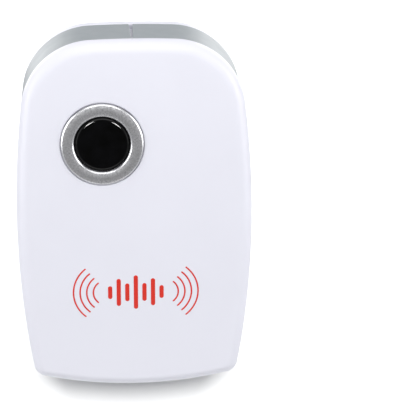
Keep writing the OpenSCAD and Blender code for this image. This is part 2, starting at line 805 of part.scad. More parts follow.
module control_chip() color([0.1, 0.1, 0.1]) {
    on_board(chip_at) difference() {
        union() {
            translate([-4.9, -3.2, 0.5]) cube([9.8, 6.4, 3.3]);
            for (x = chip_leg_x, s = [-1, 1]) {
                translate([x - 0.25, s * chip_leg_y - 0.13, 0]) cube([0.5, 0.26, 2.2]);
                translate([x - 0.6, s * 3.45 - 0.48, 1.95]) cube([1.2, 0.96, 0.26]);
            }
        }
        translate([-4.9, 0, 3]) cylinder(h = 2, r = 0.9);
    }
}

// A lacquered disc that stands on two leads
module disc_capacitor(r, t) {
    translate([0, 0, 1.2 + r]) rotate([90, 0, 0]) cylinder(h = t, r = r, center = true);
    for (s = [-1, 1]) translate([s * disc_pitch / 2, 0, 0]) cylinder(h = 1.2 + r, r = lead_r, $fn = 24);
}
module timing_capacitor() color([0.75, 0.5, 0.2]) on_board(timing_at) rotate(90) disc_capacitor(2.9, 2);
module coupling_capacitor() color([0.75, 0.5, 0.2]) on_board(coupling_at) rotate(90) disc_capacitor(2.6, 2);

// A three-legged transistor with a flat front
module transistor() {
    intersection() {
        translate([0, 0, 2.6]) cylinder(h = 4.6, r = 2.3);
        translate([-3, -1.3, 2]) cube([6, 4, 6]);
    }
    for (i = [-1, 0, 1]) translate([i * transistor_pitch - 0.2, 0, 0]) cube([0.4, 0.4, 3]);
}
module drive_transistor_1() color([0.1, 0.1, 0.1]) on_board(transistor_at[0]) transistor();
module drive_transistor_2() color([0.1, 0.1, 0.1]) on_board(transistor_at[1]) transistor();

module inductor_core() color([0.25, 0.25, 0.26]) {
    on_board(inductor_at) {
        cylinder(h = 10, r = 2);
        cylinder(h = 1.6, r = 4.5);
        translate([0, 0, 8.4]) cylinder(h = 1.6, r = 4.5);
    }
}
module inductor_winding() color([0.72, 0.35, 0.15]) {
    on_board(inductor_at) translate([0, 0, 1.7]) difference() {
        cylinder(h = 6.6, r = 3.7);
        translate([0, 0, -1]) cylinder(h = 9, r = 2.05);
    }
}

module small_resistor(i) color([0.82, 0.7, 0.5]) on_board(resistor_at[i - 1]) axial(1.1, 6.2, resistor_pitch, 0.2);
module resistor_1() small_resistor(1);
module resistor_2() small_resistor(2);
module resistor_3() small_resistor(3);
module resistor_4() small_resistor(4);

// The light stands behind the window on a spacer
led_top_y = fall([window_x, window_z]) - body_d + led_top_depth;
led_foot = y_board - led_top_y - led_h;
module led() color([0.75, 0.85, 1]) {
    on_board([window_x, window_z - board_up]) {
        translate([0, 0, led_foot]) cylinder(h = 1, r = led_r + 0.4);
        translate([0, 0, led_foot]) cylinder(h = led_h - led_r, r = led_r);
        translate([0, 0, led_foot + led_h - led_r]) sphere(led_r);
        for (s = [-1, 1]) translate([s * led_pitch / 2 - 0.25, -0.25, 0]) cube([0.5, 0.5, led_foot + 1]);
    }
}
module led_spacer() color([0.92, 0.92, 0.9]) {
    on_board([window_x, window_z - board_up]) difference() {
        cylinder(h = led_foot - fit_gap / 2, r = led_r + 0.4);
        for (s = [-1, 1]) translate([s * led_pitch / 2 - 0.4, -0.4, -1]) cube([0.8, 0.8, led_foot + 2]);
    }
}

// --- Sounder -----------------------------------------------------------------------

module at_sounder(z) {
    translate([0, sounder_y, sounder_top + z]) children();
}
module sounder_case() color([0.12, 0.12, 0.12]) {
    at_sounder(-sounder_h) difference() {
        cylinder(h = sounder_h - 1, r = sounder_d / 2);
        translate([0, 0, 1.6]) cylinder(h = sounder_h, r = sounder_d / 2 - sounder_wall);
        translate([0, 0, 1.2]) cylinder(h = 1, r = piezo_r - 1.5);
        for (s = [-1, 1]) translate([s * sounder_wire_x, 0, -1]) cylinder(h = 4, r = 0.8);
    }
}
module piezo_plate() color([0.8, 0.65, 0.3]) {
    at_sounder(-sounder_h + 1.62) cylinder(h = 0.3, r = piezo_r);
}
module piezo_ceramic() color([0.9, 0.9, 0.86]) {
    at_sounder(-sounder_h + 1.94) cylinder(h = 0.3, r = piezo_r - 2.5);
}
module resonator_cone() color([0.8, 0.8, 0.82]) {
    at_sounder(-sounder_h + 2.26) rotate_extrude() polygon([
        [0, 0], [1.2, 0], [piezo_r - 1.8, 2.6], [piezo_r - 2.1, 2.8], [0.9, 0.35], [0, 0.35]
    ]);
}
module sounder_cover() color([0.12, 0.12, 0.12]) {
    at_sounder(-1 + fit_gap / 2) difference() {
        cylinder(h = 1 - fit_gap / 2, r = sounder_d / 2);
        for (a = [0:60:300]) rotate(a) translate([4.2, 0, -1]) cylinder(h = 3, r = 1.3);
        translate([0, 0, -1]) cylinder(h = 3, r = 1.6);
    }
}
module sounder_gasket() color([0.3, 0.3, 0.32]) {
    at_sounder(fit_gap / 2) difference() {
        cylinder(h = gasket_t, r = sounder_d / 2 - 0.5);
        translate([0, 0, -1]) cylinder(h = gasket_t + 2, r = sounder_d / 2 - 2.8);
    }
}

// Each wire's way from its pad on the board to the sounder's case
function sounder_route(side) = let (x = side * sounder_wire_x, up = board_up + sounder_pad_up) [
    [x, y_board - 0.1, up], [x, y_board - 2.2, up + 0.3], [x * 1.1, y_board - 5, up + 2],
    [x * 1.1, sounder_y + 0.4, up + 4.9],
    [x, sounder_y, sounder_top - sounder_h - 1], [x, sounder_y, sounder_top - sounder_h + 1]
];
module sounder_wire_red() color([0.75, 0.1, 0.1]) wire(curve(sounder_route(-1), 2), 0.55);
module sounder_wire_black() color([0.1, 0.1, 0.1]) wire(curve(sounder_route(1), 2), 0.55);

front_cover();
side_band();
rear_housing();
lens_ring();
lens();
lens_retainer();
printed_mark();
rating_label();
case_screws();
plug_blade_left();
plug_blade_right();
blade_retainer();
retainer_screws();
live_wire();
neutral_wire();
live_sleeve();
neutral_sleeve();
circuit_board();
board_screws();
solder_joints();
fuse_resistor();
dropper_capacitor();
bleed_resistor();
rectifier_diode_1();
rectifier_diode_2();
rectifier_diode_3();
rectifier_diode_4();
zener_diode();
smoothing_capacitor();
filter_capacitor();
control_chip();
timing_capacitor();
coupling_capacitor();
drive_transistor_1();
drive_transistor_2();
inductor_core();
inductor_winding();
resistor_1();
resistor_2();
resistor_3();
resistor_4();
led();
led_spacer();
sounder_case();
sounder_cover();
piezo_plate();
piezo_ceramic();
resonator_cone();
sounder_gasket();
sounder_wire_red();
sounder_wire_black();
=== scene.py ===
"""Builds the looks of a plug-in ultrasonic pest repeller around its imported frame.

It is run as a script. Shapes are worked out in millimetres and become meshes in metres, in the
frame's own axes: +X right and +Z up on a wall, the front facing -Y, the blades towards +Y.
"""

import math

import bmesh
import bpy
import numpy as np
from bpy.props import FloatProperty, FloatVectorProperty, PointerProperty
from mathutils import Matrix, Vector
from mathutils.geometry import delaunay_2d_cdt


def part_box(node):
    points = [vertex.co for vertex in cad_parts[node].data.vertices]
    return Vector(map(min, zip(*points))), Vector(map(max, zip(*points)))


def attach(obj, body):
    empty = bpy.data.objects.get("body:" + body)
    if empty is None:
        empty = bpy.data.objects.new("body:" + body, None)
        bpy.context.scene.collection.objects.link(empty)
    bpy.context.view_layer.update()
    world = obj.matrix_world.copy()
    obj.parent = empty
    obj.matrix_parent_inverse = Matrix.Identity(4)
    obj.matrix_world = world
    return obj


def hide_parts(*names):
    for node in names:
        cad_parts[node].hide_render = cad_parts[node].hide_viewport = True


bl_info = {
    "name": "Plug-in Pest Repeller",
    "version": (1, 0, 0),
    "blender": (4, 5, 0),
    "location": "View3D > Sidebar > Repeller",
    "description": "Builds the looks of a plug-in ultrasonic pest repeller around its frame",
    "category": "Object",
}

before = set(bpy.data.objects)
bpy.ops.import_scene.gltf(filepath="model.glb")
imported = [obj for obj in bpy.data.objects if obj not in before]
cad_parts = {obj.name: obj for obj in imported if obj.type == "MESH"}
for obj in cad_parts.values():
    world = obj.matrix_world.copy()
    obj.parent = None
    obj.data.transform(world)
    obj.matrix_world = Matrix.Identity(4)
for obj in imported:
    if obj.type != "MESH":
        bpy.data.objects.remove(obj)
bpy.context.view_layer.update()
MM = 0.001
WELD = 1e-6


# --- Sizes and colours that a user would change ---------------------------------------


def linear(code):
    """Linear red, green and blue of an sRGB hex colour."""
    parts = [int(code[i : i + 2], 16) / 255 for i in (1, 3, 5)]
    return tuple(p / 12.92 if p <= 0.04045 else ((p + 0.055) / 1.055) ** 2.4 for p in parts)


def length(name, mm, description):
    """A length whose default is given in millimetres."""
    return FloatProperty(
        name=name, description=description, default=mm * MM, min=0, precision=5,
        subtype="DISTANCE", unit="LENGTH",
    )


def colour(name, code, description):
    """A colour whose default is given as sRGB hex."""
    return FloatVectorProperty(
        name=name, description=description, default=linear(code), size=3, min=0, max=1, subtype="COLOR"
    )


def centre_of(node, axis):
    """Middle of a frame node's box along an axis, in millimetres."""
    low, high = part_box(node)
    return (low[axis] + high[axis]) / 2 / MM


class RepellerSizes(bpy.types.PropertyGroup):
    """Sizes of the housing, the window and the plug"""

    body_w: length("Body width", 60, "Width of the body at its widest place")
    body_h: length("Body length", 93, "Length from the wide lower end to the narrow upper end")
    plug_up: length("Plug height", 13.5, "Height of the plug above the lower end")
    widest_up: length("Widest place", 46, "Height of the widest place above the lower end")
    front_d: length("Cover depth", 7, "Depth of the front cover at its crown")
    band_w: length("Band width", 15.5, "Width of the side band from front to back")
    rear_d: length("Rear depth", 9, "Depth of the rear housing behind the band")
    side_r: length("Side radius", 250, "Radius of the long sides")
    lower_r: length("Lower end radius", 250, "Radius of the lower end")
    upper_r: length("Upper end radius", 110, "Radius of the upper end")
    lower_corner_r: length("Lower corner radius", 18.5, "Radius of the two lower corners")
    upper_corner_r: length("Upper corner radius", 3.5, "Radius of the two upper corners")
    crown_len: length("Crown along", 3.2, "Fall of the face from its crown to the two ends")
    crown_wid: length("Crown across", 0.8, "Fall of the face from its crown to the two sides")
    front_edge_r: length("Front edge", 3, "Rounding of the front edge")
    rear_edge_r: length("Rear edge", 7, "Rounding of the rear edge")
    window_x: length("Window place", centre_of("lens", 0), "Distance of the window from the middle")
    window_up: length("Window height", 25.8, "Height of the window above the lower end")
    ring_r: length("Ring radius", 10.4, "Outer radius of the metal ring")
    lens_r: length("Window radius", 7.1, "Radius of the black window")
    mark_down: length("Mark place", 27.4, "Distance of the printed mark from the upper end")
    blade_gap: length("Blade distance", 12.7, "Distance between the middles of the two blades")
    blade_w: length("Blade width", 6.35, "Width of a blade")
    blade_t: length("Blade thickness", 1.5, "Thickness of a blade")
    blade_len: length("Blade length", 17, "Length of a blade outside the wall face")


class RepellerColours(bpy.types.PropertyGroup):
    """Colours of the finishes that show"""

    housing: colour("Housing", "#E5E5EE", "Moulded white housing")
    band: colour("Side band", "#90969A", "Smoke grey side band")
    ring: colour("Ring", "#DEDEE0", "Blasted aluminium ring")
    window: colour("Window", "#020202", "Black acrylic window")
    mark: colour("Mark", "#DA2E20", "Printed ink")
    blade: colour("Blades", "#CFC6B8", "Nickel-plated blades")
    floor: colour("Floor", "#FFFFFF", "Studio floor")


def mm(name):
    """A size in millimetres."""
    return getattr(bpy.context.scene.repeller_sizes, name) / MM


def shade(code):
    """Linear red, green, blue and alpha of an sRGB hex colour, or of a user colour by its name."""
    if code.startswith("#"):
        return (*linear(code), 1.0)
    return (*getattr(bpy.context.scene.repeller_colours, code), 1.0)


# --- Fixed sizes in millimetres, as in the frame ---------------------------------------

BAND_INSET, REAR_INSET, BAND_T, FIT_GAP = 0.25, 0.3, 1.2, 0.1
SKIRT_T, TONGUE_T, TONGUE_LEN = 1.3, 0.95, 2.6
SKIRT_OUT = BAND_INSET + BAND_T + FIT_GAP
SKIRT_IN = SKIRT_OUT + SKIRT_T
TONGUE_OUT = SKIRT_IN + FIT_GAP
TONGUE_IN = TONGUE_OUT + TONGUE_T
FACE_WALL, REAR_WALL = 2.0, 2.2
SLOT_HALF, SLOT_L, SLOT_PITCH, SLOT_COUNT, SLOT_DOWN = 0.8, 8.0, 3.0, 5, 12.0
CASE_SCREW_X, CASE_SCREW_DOWN, SCREW_SEAT = 16.5, 12.5, -5.0
POST_END, POST_STEPS = -15.0, 40
BLADE_TIP_R = 5.0


def z_low():
    """Z of the lower end."""
    return -mm("plug_up")


def z_high():
    """Z of the upper end."""
    return mm("body_h") - mm("plug_up")


def body_d():
    """Depth of the whole housing at its crown."""
    return mm("front_d") + mm("band_w") + mm("rear_d")


def y_front_part():
    """Y where the band meets the cover."""
    return -mm("rear_d") - mm("band_w")


def y_joint():
    """Y where the cover's skirt meets the rear housing, at the middle of the band."""
    return -mm("rear_d") - mm("band_w") / 2


def slot_edges():
    """X of both edges of every sound slot, from left to right."""
    middles = (np.arange(SLOT_COUNT) - (SLOT_COUNT - 1) / 2) * SLOT_PITCH
    return np.sort(np.concatenate((middles - SLOT_HALF, middles + SLOT_HALF)))


# --- Outline and dome ------------------------------------------------------------------


def arc(centre, radius, start, end, steps):
    """Points centre + radius (cos t, sin t) for t from start up to, but not including, end."""
    t = np.linspace(start, end, steps, endpoint=False)
    return np.asarray(centre) + radius * np.column_stack((np.cos(t), np.sin(t)))


def crossing(c1, r1, c2, r2, side):
    """Where two circles cross, on the side that the sign picks."""
    v = c2 - c1
    span = np.linalg.norm(v)
    a = (r1 * r1 - r2 * r2 + span * span) / (2 * span)
    h = math.sqrt(r1 * r1 - a * a)
    return c1 + v * a / span + side * h * np.array((-v[1], v[0])) / span


def bearing(v):
    """Angle of a vector from the first axis."""
    return math.atan2(v[1], v[0])


def outline(d):
    """Loop of (x, z) set in by d from the body's outline: a lower arc, two long side arcs and an upper
    arc, joined by corner arcs that touch both neighbours. The upper arc has points on the slots' edges,
    so column i stands for the same place at every d."""
    low, high = z_low(), z_high()
    rs, rl, ru = mm("side_r") - d, mm("lower_r") - d, mm("upper_r") - d
    rcl = max(mm("lower_corner_r") - d, 1.2)
    rcu = max(mm("upper_corner_r") - d, 1.2)
    cs = np.array((mm("body_w") / 2 - mm("side_r"), low + mm("widest_up")))
    cl = np.array((0, low + mm("lower_r")))
    cu = np.array((0, high - mm("upper_r")))
    fl = crossing(cs, rs - rcl, cl, rl - rcl, -1)
    fu = crossing(cs, rs - rcu, cu, ru - rcu, 1)
    edges = slot_edges()
    start = ru * math.cos(bearing(fu - cu))
    x = np.concatenate((np.linspace(start, edges[-1], 12, endpoint=False), edges[edges > 0][::-1], [0.4, 0]))
    upper = np.column_stack((x, cu[1] + np.sqrt(ru * ru - x * x)))
    half = np.vstack(
        (
            arc(cl, rl, -math.pi / 2, bearing(fl - cl), 14),
            arc(fl, rcl, bearing(fl - cl), bearing(fl - cs), 34),
            arc(cs, rs, bearing(fl - cs), bearing(fu - cs), 60),
            arc(fu, rcu, bearing(fu - cs), bearing(fu - cu), 12),
            upper,
        )
    )
    return np.vstack((half, half[-2:0:-1] * (-1, 1)))


def fall(flat):
    """How far the domed face has fallen from its crown: a parabola along plus a parabola across."""
    middle = (z_low() + z_high()) / 2
    along = mm("crown_len") * ((flat[..., 1] - middle) / (mm("body_h") / 2)) ** 2
    return along + mm("crown_wid") * (flat[..., 0] / (mm("body_w") / 2)) ** 2


def dome(flat, behind=0.0):
    """Points of (x, z) laid on the domed face, or behind it."""
    return np.stack((flat[..., 0], fall(flat) - body_d() + behind, flat[..., 1]), -1)


def level(flat, y):
    """Points of (x, z) at the depth y."""
    return np.stack((flat[..., 0], np.full(flat.shape[:-1], float(y)), flat[..., 1]), -1)


def quarter(steps):
    """Angles from 0 to 90 degrees."""
    return np.linspace(0, math.pi / 2, steps)


def face_frame(x, z):
    """Origin and axes of the plane that touches the dome at (x, z); the last axis points out of it."""
    middle = (z_low() + z_high()) / 2
    slope_z = math.atan(2 * mm("crown_len") * (z - middle) / (mm("body_h") / 2) ** 2)
    slope_x = math.atan(2 * mm("crown_wid") * x / (mm("body_w") / 2) ** 2)
    turn = Matrix.Rotation(slope_x, 3, "Z") @ Matrix.Rotation(math.pi / 2 - slope_z, 3, "X")
    return dome(np.array((x, z))), np.array(turn)


def window_frame():
    """Origin and axes of the plane that touches the dome at the window's middle."""
    return face_frame(mm("window_x"), z_low() + mm("window_up"))


# --- Meshes ----------------------------------------------------------------------------


def inside(points, loop):
    """Whether each point lies in a loop, by counting the edges to its right."""
    a, b = loop, np.roll(loop, -1, 0)
    x, z = points[:, :1], points[:, 1:]
    spans = (a[:, 1] > z) != (b[:, 1] > z)
    rise = np.where(b[:, 1] == a[:, 1], 1.0, b[:, 1] - a[:, 1])
    return (spans & (x < (b[:, 0] - a[:, 0]) * (z - a[:, 1]) / rise + a[:, 0])).sum(1) % 2 == 1


def fill(outer, holes=()):
    """Points and triangles that fill a flat loop round its holes, by constrained Delaunay."""
    loops = [outer, *holes]
    points = np.vstack(loops)
    starts = np.cumsum([0] + [len(loop) for loop in loops])
    edges = [(a + i, a + (i + 1) % (b - a)) for a, b in zip(starts, starts[1:]) for i in range(b - a)]
    found = delaunay_2d_cdt([Vector(p) for p in points], edges, [], 0, 1e-6, True)
    places = np.array([points[ids[0]] if ids else tuple(v) for v, ids in zip(found[0], found[3])])
    triangles = np.array(found[2])
    middles = places[triangles].mean(1)
    keep = inside(middles, outer)
    for hole in holes:
        keep &= ~inside(middles, hole)
    return places, triangles[keep]


def circle(x, z, r, steps=48):
    """Loop of (x, z) round a centre."""
    return arc((x, z), r, 0, 2 * math.pi, steps)


def rounded(x, z, size, grow, steps=6):
    """Loop of (x, z) round a rectangle of (width, height, corner radius) that has grown all round."""
    w, h, r = size
    t = np.concatenate([np.linspace(k, k + 1, steps) for k in range(4)]) * math.pi / 2
    turn = np.column_stack((np.cos(t), np.sin(t)))
    side = np.repeat(((1, 1), (-1, 1), (-1, -1), (1, -1)), steps, 0)
    return np.array((x, z)) + side * (w / 2 - r, h / 2 - r) + (r + grow) * turn


class Skin:
    """Collects patches in millimetres and welds them into one closed mesh."""

    def __init__(self):
        self.points, self.faces, self.marks, self.total = [], [], [], 0

    def add(self, points, faces, mark=0):
        """Adds points and faces; mark is a material's number, or one for each face."""
        points = np.reshape(points, (-1, 3))
        self.faces.extend((np.asarray(faces) + self.total).tolist())
        self.marks.extend(np.broadcast_to(mark, len(faces)).tolist())
        self.points.append(points)
        self.total += len(points)

    def grid(self, rows, mark=0, keep=None, around=True, closed=False):
        """Quads between the rows of a grid of points. around joins its last column to its first, closed
        its last row to its first; keep says which cells stay."""
        rows = np.asarray(rows)
        m, n = rows.shape[:2]
        cells = np.arange(m if closed else m - 1), np.arange(n if around else n - 1)
        k, i = np.meshgrid(*cells, indexing="ij")
        after, j = (k + 1) % m, (i + 1) % n
        quads = np.stack((k * n + i, k * n + j, after * n + j, after * n + i), -1)
        marks = np.broadcast_to(np.reshape(mark, (-1, 1)), k.shape)
        keep = np.ones(k.shape, bool) if keep is None else keep
        self.add(rows, quads[keep], marks[keep])

    def sheet(self, outer, holes, place, mark=0):
        """A filled flat loop, put in space by place."""
        flat, triangles = fill(outer, holes)
        self.add(place(flat), triangles, mark)

    def turned(self, profile, place, steps, mark=0, closed=False):
        """A profile of (radius, height) turned about the height axis and put in space by place."""
        profile = np.asarray(profile, float)
        t = np.linspace(0, 2 * math.pi, steps, endpoint=False)
        r, h = profile[:, :1], profile[:, 1:]
        self.grid(place(r * np.cos(t), r * np.sin(t), h + 0 * t), mark, closed=closed)

    def slotted(self, rows, cuts, columns, around=True, closed=True):
        """A grid less the slots: at the slots' columns the cells between each pair of rows in cuts go,
        and each slot gets two side walls and its end walls."""
        rows = np.asarray(rows)
        m, n = rows.shape[:2]
        keep = np.ones((m if closed else m - 1, n if around else n - 1), bool)
        for a, b in cuts:
            keep[a:b, columns] = False
        self.grid(rows, keep=keep, around=around, closed=closed)
        first, last = columns[:-1] & ~columns[1:], ~columns[:-1] & columns[1:]
        sides = np.concatenate((np.flatnonzero(first) + 1, np.flatnonzero(last) + 1))
        ring = np.concatenate([np.arange(a, b + 1) for a, b in cuts])
        for side in sides:
            self.add(rows[ring, side], [list(range(len(ring)))])
        ends = [(cuts[0][0], cuts[-1][1])] + [(a[1], b[0]) for a, b in zip(cuts, cuts[1:])]
        span = np.flatnonzero(columns)
        for a, b in ends:
            quads = np.stack((rows[a, span], rows[a, span + 1], rows[b, span + 1], rows[b, span]), 1)
            self.add(quads, np.arange(4 * len(span)).reshape(-1, 4))

    def build(self, name, slot, finishes, replaces, sharp=35):
        """Welds the patches, turns every face outwards and makes the piece."""
        mesh = bpy.data.meshes.new(name)
        mesh.from_pydata((np.vstack(self.points) * MM).tolist(), [], self.faces)
        mesh.polygons.foreach_set("material_index", self.marks)
        work = bmesh.new()
        work.from_mesh(mesh)
        bmesh.ops.remove_doubles(work, verts=work.verts, dist=WELD)
        bmesh.ops.dissolve_degenerate(work, dist=WELD, edges=work.edges)
        bmesh.ops.recalc_face_normals(work, faces=work.faces)
        work.to_mesh(mesh)
        work.free()
        for made in finishes:
            mesh.materials.append(made)
        mesh.shade_smooth()
        mesh.set_sharp_from_angle(angle=math.radians(sharp))
        piece = bpy.data.objects.new(name, mesh)
        bpy.context.scene.collection.objects.link(piece)
        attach(piece, "root")
        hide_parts(*replaces)
        return piece


def soften(piece, width):
    """Rounds a piece's hard edges."""
    bevel = piece.modifiers.new("Edges", "BEVEL")
    bevel.width, bevel.segments = width * MM, 2
    bevel.limit_method, bevel.angle_limit = "ANGLE", math.radians(40)
    bevel.harden_normals = True
    bevel.use_clamp_overlap = True


def along_y(x, z):
    """Puts a turned profile's axis along Y, at (x, z); its height is Y."""
    return lambda u, v, h: np.stack(np.broadcast_arrays(x + u, h, z + v), -1)


def on_window(u, v, h):
    """Puts local points into the plane of the window."""
    origin, axes = window_frame()
    return origin + np.stack(np.broadcast_arrays(u, v, h), -1) @ axes.T


# --- Finishes --------------------------------------------------------------------------

# Nearly all of a noise lies between these two values, so they are stretched to the wanted range
NOISE_RANGE = {"From Min": 0.3, "From Max": 0.7}


def put(tree, kind, inputs=(), **settings):
    """Adds a node with its settings, its input values and its links."""
    made = tree.nodes.new(kind)
    for key, value in settings.items():
        setattr(made, key, value)
    for key, value in dict(inputs).items():
        if isinstance(value, bpy.types.NodeSocket):
            tree.links.new(value, made.inputs[key])
        else:
            made.inputs[key].default_value = value
    return made


def finish(name, base, sockets):
    """A material with a Principled shader whose constants sit on its own sockets."""
    made = bpy.data.materials.new(name)
    made.use_nodes = True
    tree = made.node_tree
    tree.nodes.clear()
    shader = put(tree, "ShaderNodeBsdfPrincipled", {"Base Color": shade(base), **sockets})
    put(tree, "ShaderNodeOutputMaterial", {"Surface": shader.outputs[0]})
    made.diffuse_color = shade(base)
    return made, tree, shader


def grain(tree, size, stretch=(1, 1, 1), detail=2.0, rough=0.5):
    """Noise on Object coordinates whose grain is size millimetres, drawn out by stretch."""
    place = put(tree, "ShaderNodeTexCoord")
    scale = [1 / (size * MM * s) for s in stretch]
    mapping = put(tree, "ShaderNodeMapping", {"Vector": place.outputs["Object"], "Scale": scale})
    noise = put(
        tree, "ShaderNodeTexNoise",
        {"Vector": mapping.outputs[0], "Scale": 1.0, "Detail": detail, "Roughness": rough},
    )
    return noise.outputs["Fac"]


def lay(tree, shader, pattern, other=None, share=0.0, rough=None, depth=0.0):
    """Lets a pattern change the shader: the base colour goes towards another, up to share; the roughness
    runs between two values; relief, its depth in millimetres, is laid over the relief that is there."""
    if other:
        amount = put(tree, "ShaderNodeMapRange", {"Value": pattern, **NOISE_RANGE, "To Max": share})
        base = shader.inputs["Base Color"].default_value
        colours = {"Factor": amount.outputs[0], 6: base, 7: shade(other)}
        mix = put(tree, "ShaderNodeMix", colours, data_type="RGBA")
        tree.links.new(mix.outputs[2], shader.inputs["Base Color"])
    if rough:
        ends = {"To Min": rough[0], "To Max": rough[1]}
        dull = put(tree, "ShaderNodeMapRange", {"Value": pattern, **NOISE_RANGE, **ends})
        tree.links.new(dull.outputs[0], shader.inputs["Roughness"])
    if depth:
        below = {"Normal": link.from_socket for link in shader.inputs["Normal"].links}
        links = {"Height": pattern, "Strength": 1.0, "Distance": depth * MM, **below}
        bump = put(tree, "ShaderNodeBump", links)
        tree.links.new(bump.outputs[0], shader.inputs["Normal"])


def moulded(name, base, other, rough, grit=0.3, depth=0.003, sockets=()):
    """Injection-moulded plastic: the mould's spark-eroded skin gives a fine grit that spreads highlights
    into a soft satin, and the flow of the melt a faint large unevenness of tone. The grit is drawn some
    five times as coarse as the real one, so that it shows."""
    made, tree, shader = finish(name, base, {"IOR": 1.53, "Roughness": rough, **dict(sockets)})
    lay(tree, shader, grain(tree, 14, detail=3.0), other, 0.5)
    lay(tree, shader, grain(tree, 5, detail=4.0, rough=0.65), rough=(rough - 0.05, rough + 0.05))
    lay(tree, shader, grain(tree, 9, detail=1.0), depth=depth * 3)
    lay(tree, shader, grain(tree, grit, detail=3.0, rough=0.6), depth=depth)
    return made


def metal(name, base, other, rough, grit, stretch=(1, 1, 1), depth=0.004, swing=0.08):
    """Bare or plated metal: grains or rolling lines break up the reflection, so it changes from grain to
    grain. The grit is drawn about twice as coarse as the real one, so that it shows."""
    made, tree, shader = finish(name, base, {"Metallic": 1.0, "Roughness": rough})
    fine = grain(tree, grit, stretch, detail=3.0, rough=0.65)
    lay(tree, shader, fine, other, 0.8, (rough - swing, rough + swing), depth)
    return made


# --- Operators: stage ------------------------------------------------------------------


def table_axes():
    """The table that the device lies on touches the blades' tips and the rear edge's rounding: the
    common tangent of two circles in (z, y). Returns a point on it and its unit normal towards the front."""
    tip_r, edge_r = BLADE_TIP_R, mm("rear_edge_r")
    tip = np.array((0, mm("blade_len") - tip_r))
    edge = np.array((z_high() - REAR_INSET - edge_r, -edge_r))
    v = edge - tip
    span = np.linalg.norm(v)
    lean = math.atan2(-v[1], v[0]) + math.asin((tip_r - edge_r) / span)
    away = np.array((math.sin(lean), math.cos(lean)))
    touch = tip + tip_r * away
    return np.array((0, touch[1], touch[0])) * MM, np.array((0, -away[1], -away[0]))


def lamp(name, spot, aim, size, power):
    """A soft rectangular lamp at spot that faces aim."""
    data = bpy.data.lights.new(name, "AREA")
    data.shape, data.energy = "RECTANGLE", power
    data.size, data.size_y = size
    made = bpy.data.objects.new(name, data)
    bpy.context.scene.collection.objects.link(made)
    made.location = spot
    made.visible_camera = False
    made.rotation_mode = "QUATERNION"
    made.rotation_quaternion = (aim - spot).to_track_quat("-Z", "Y")
    return made


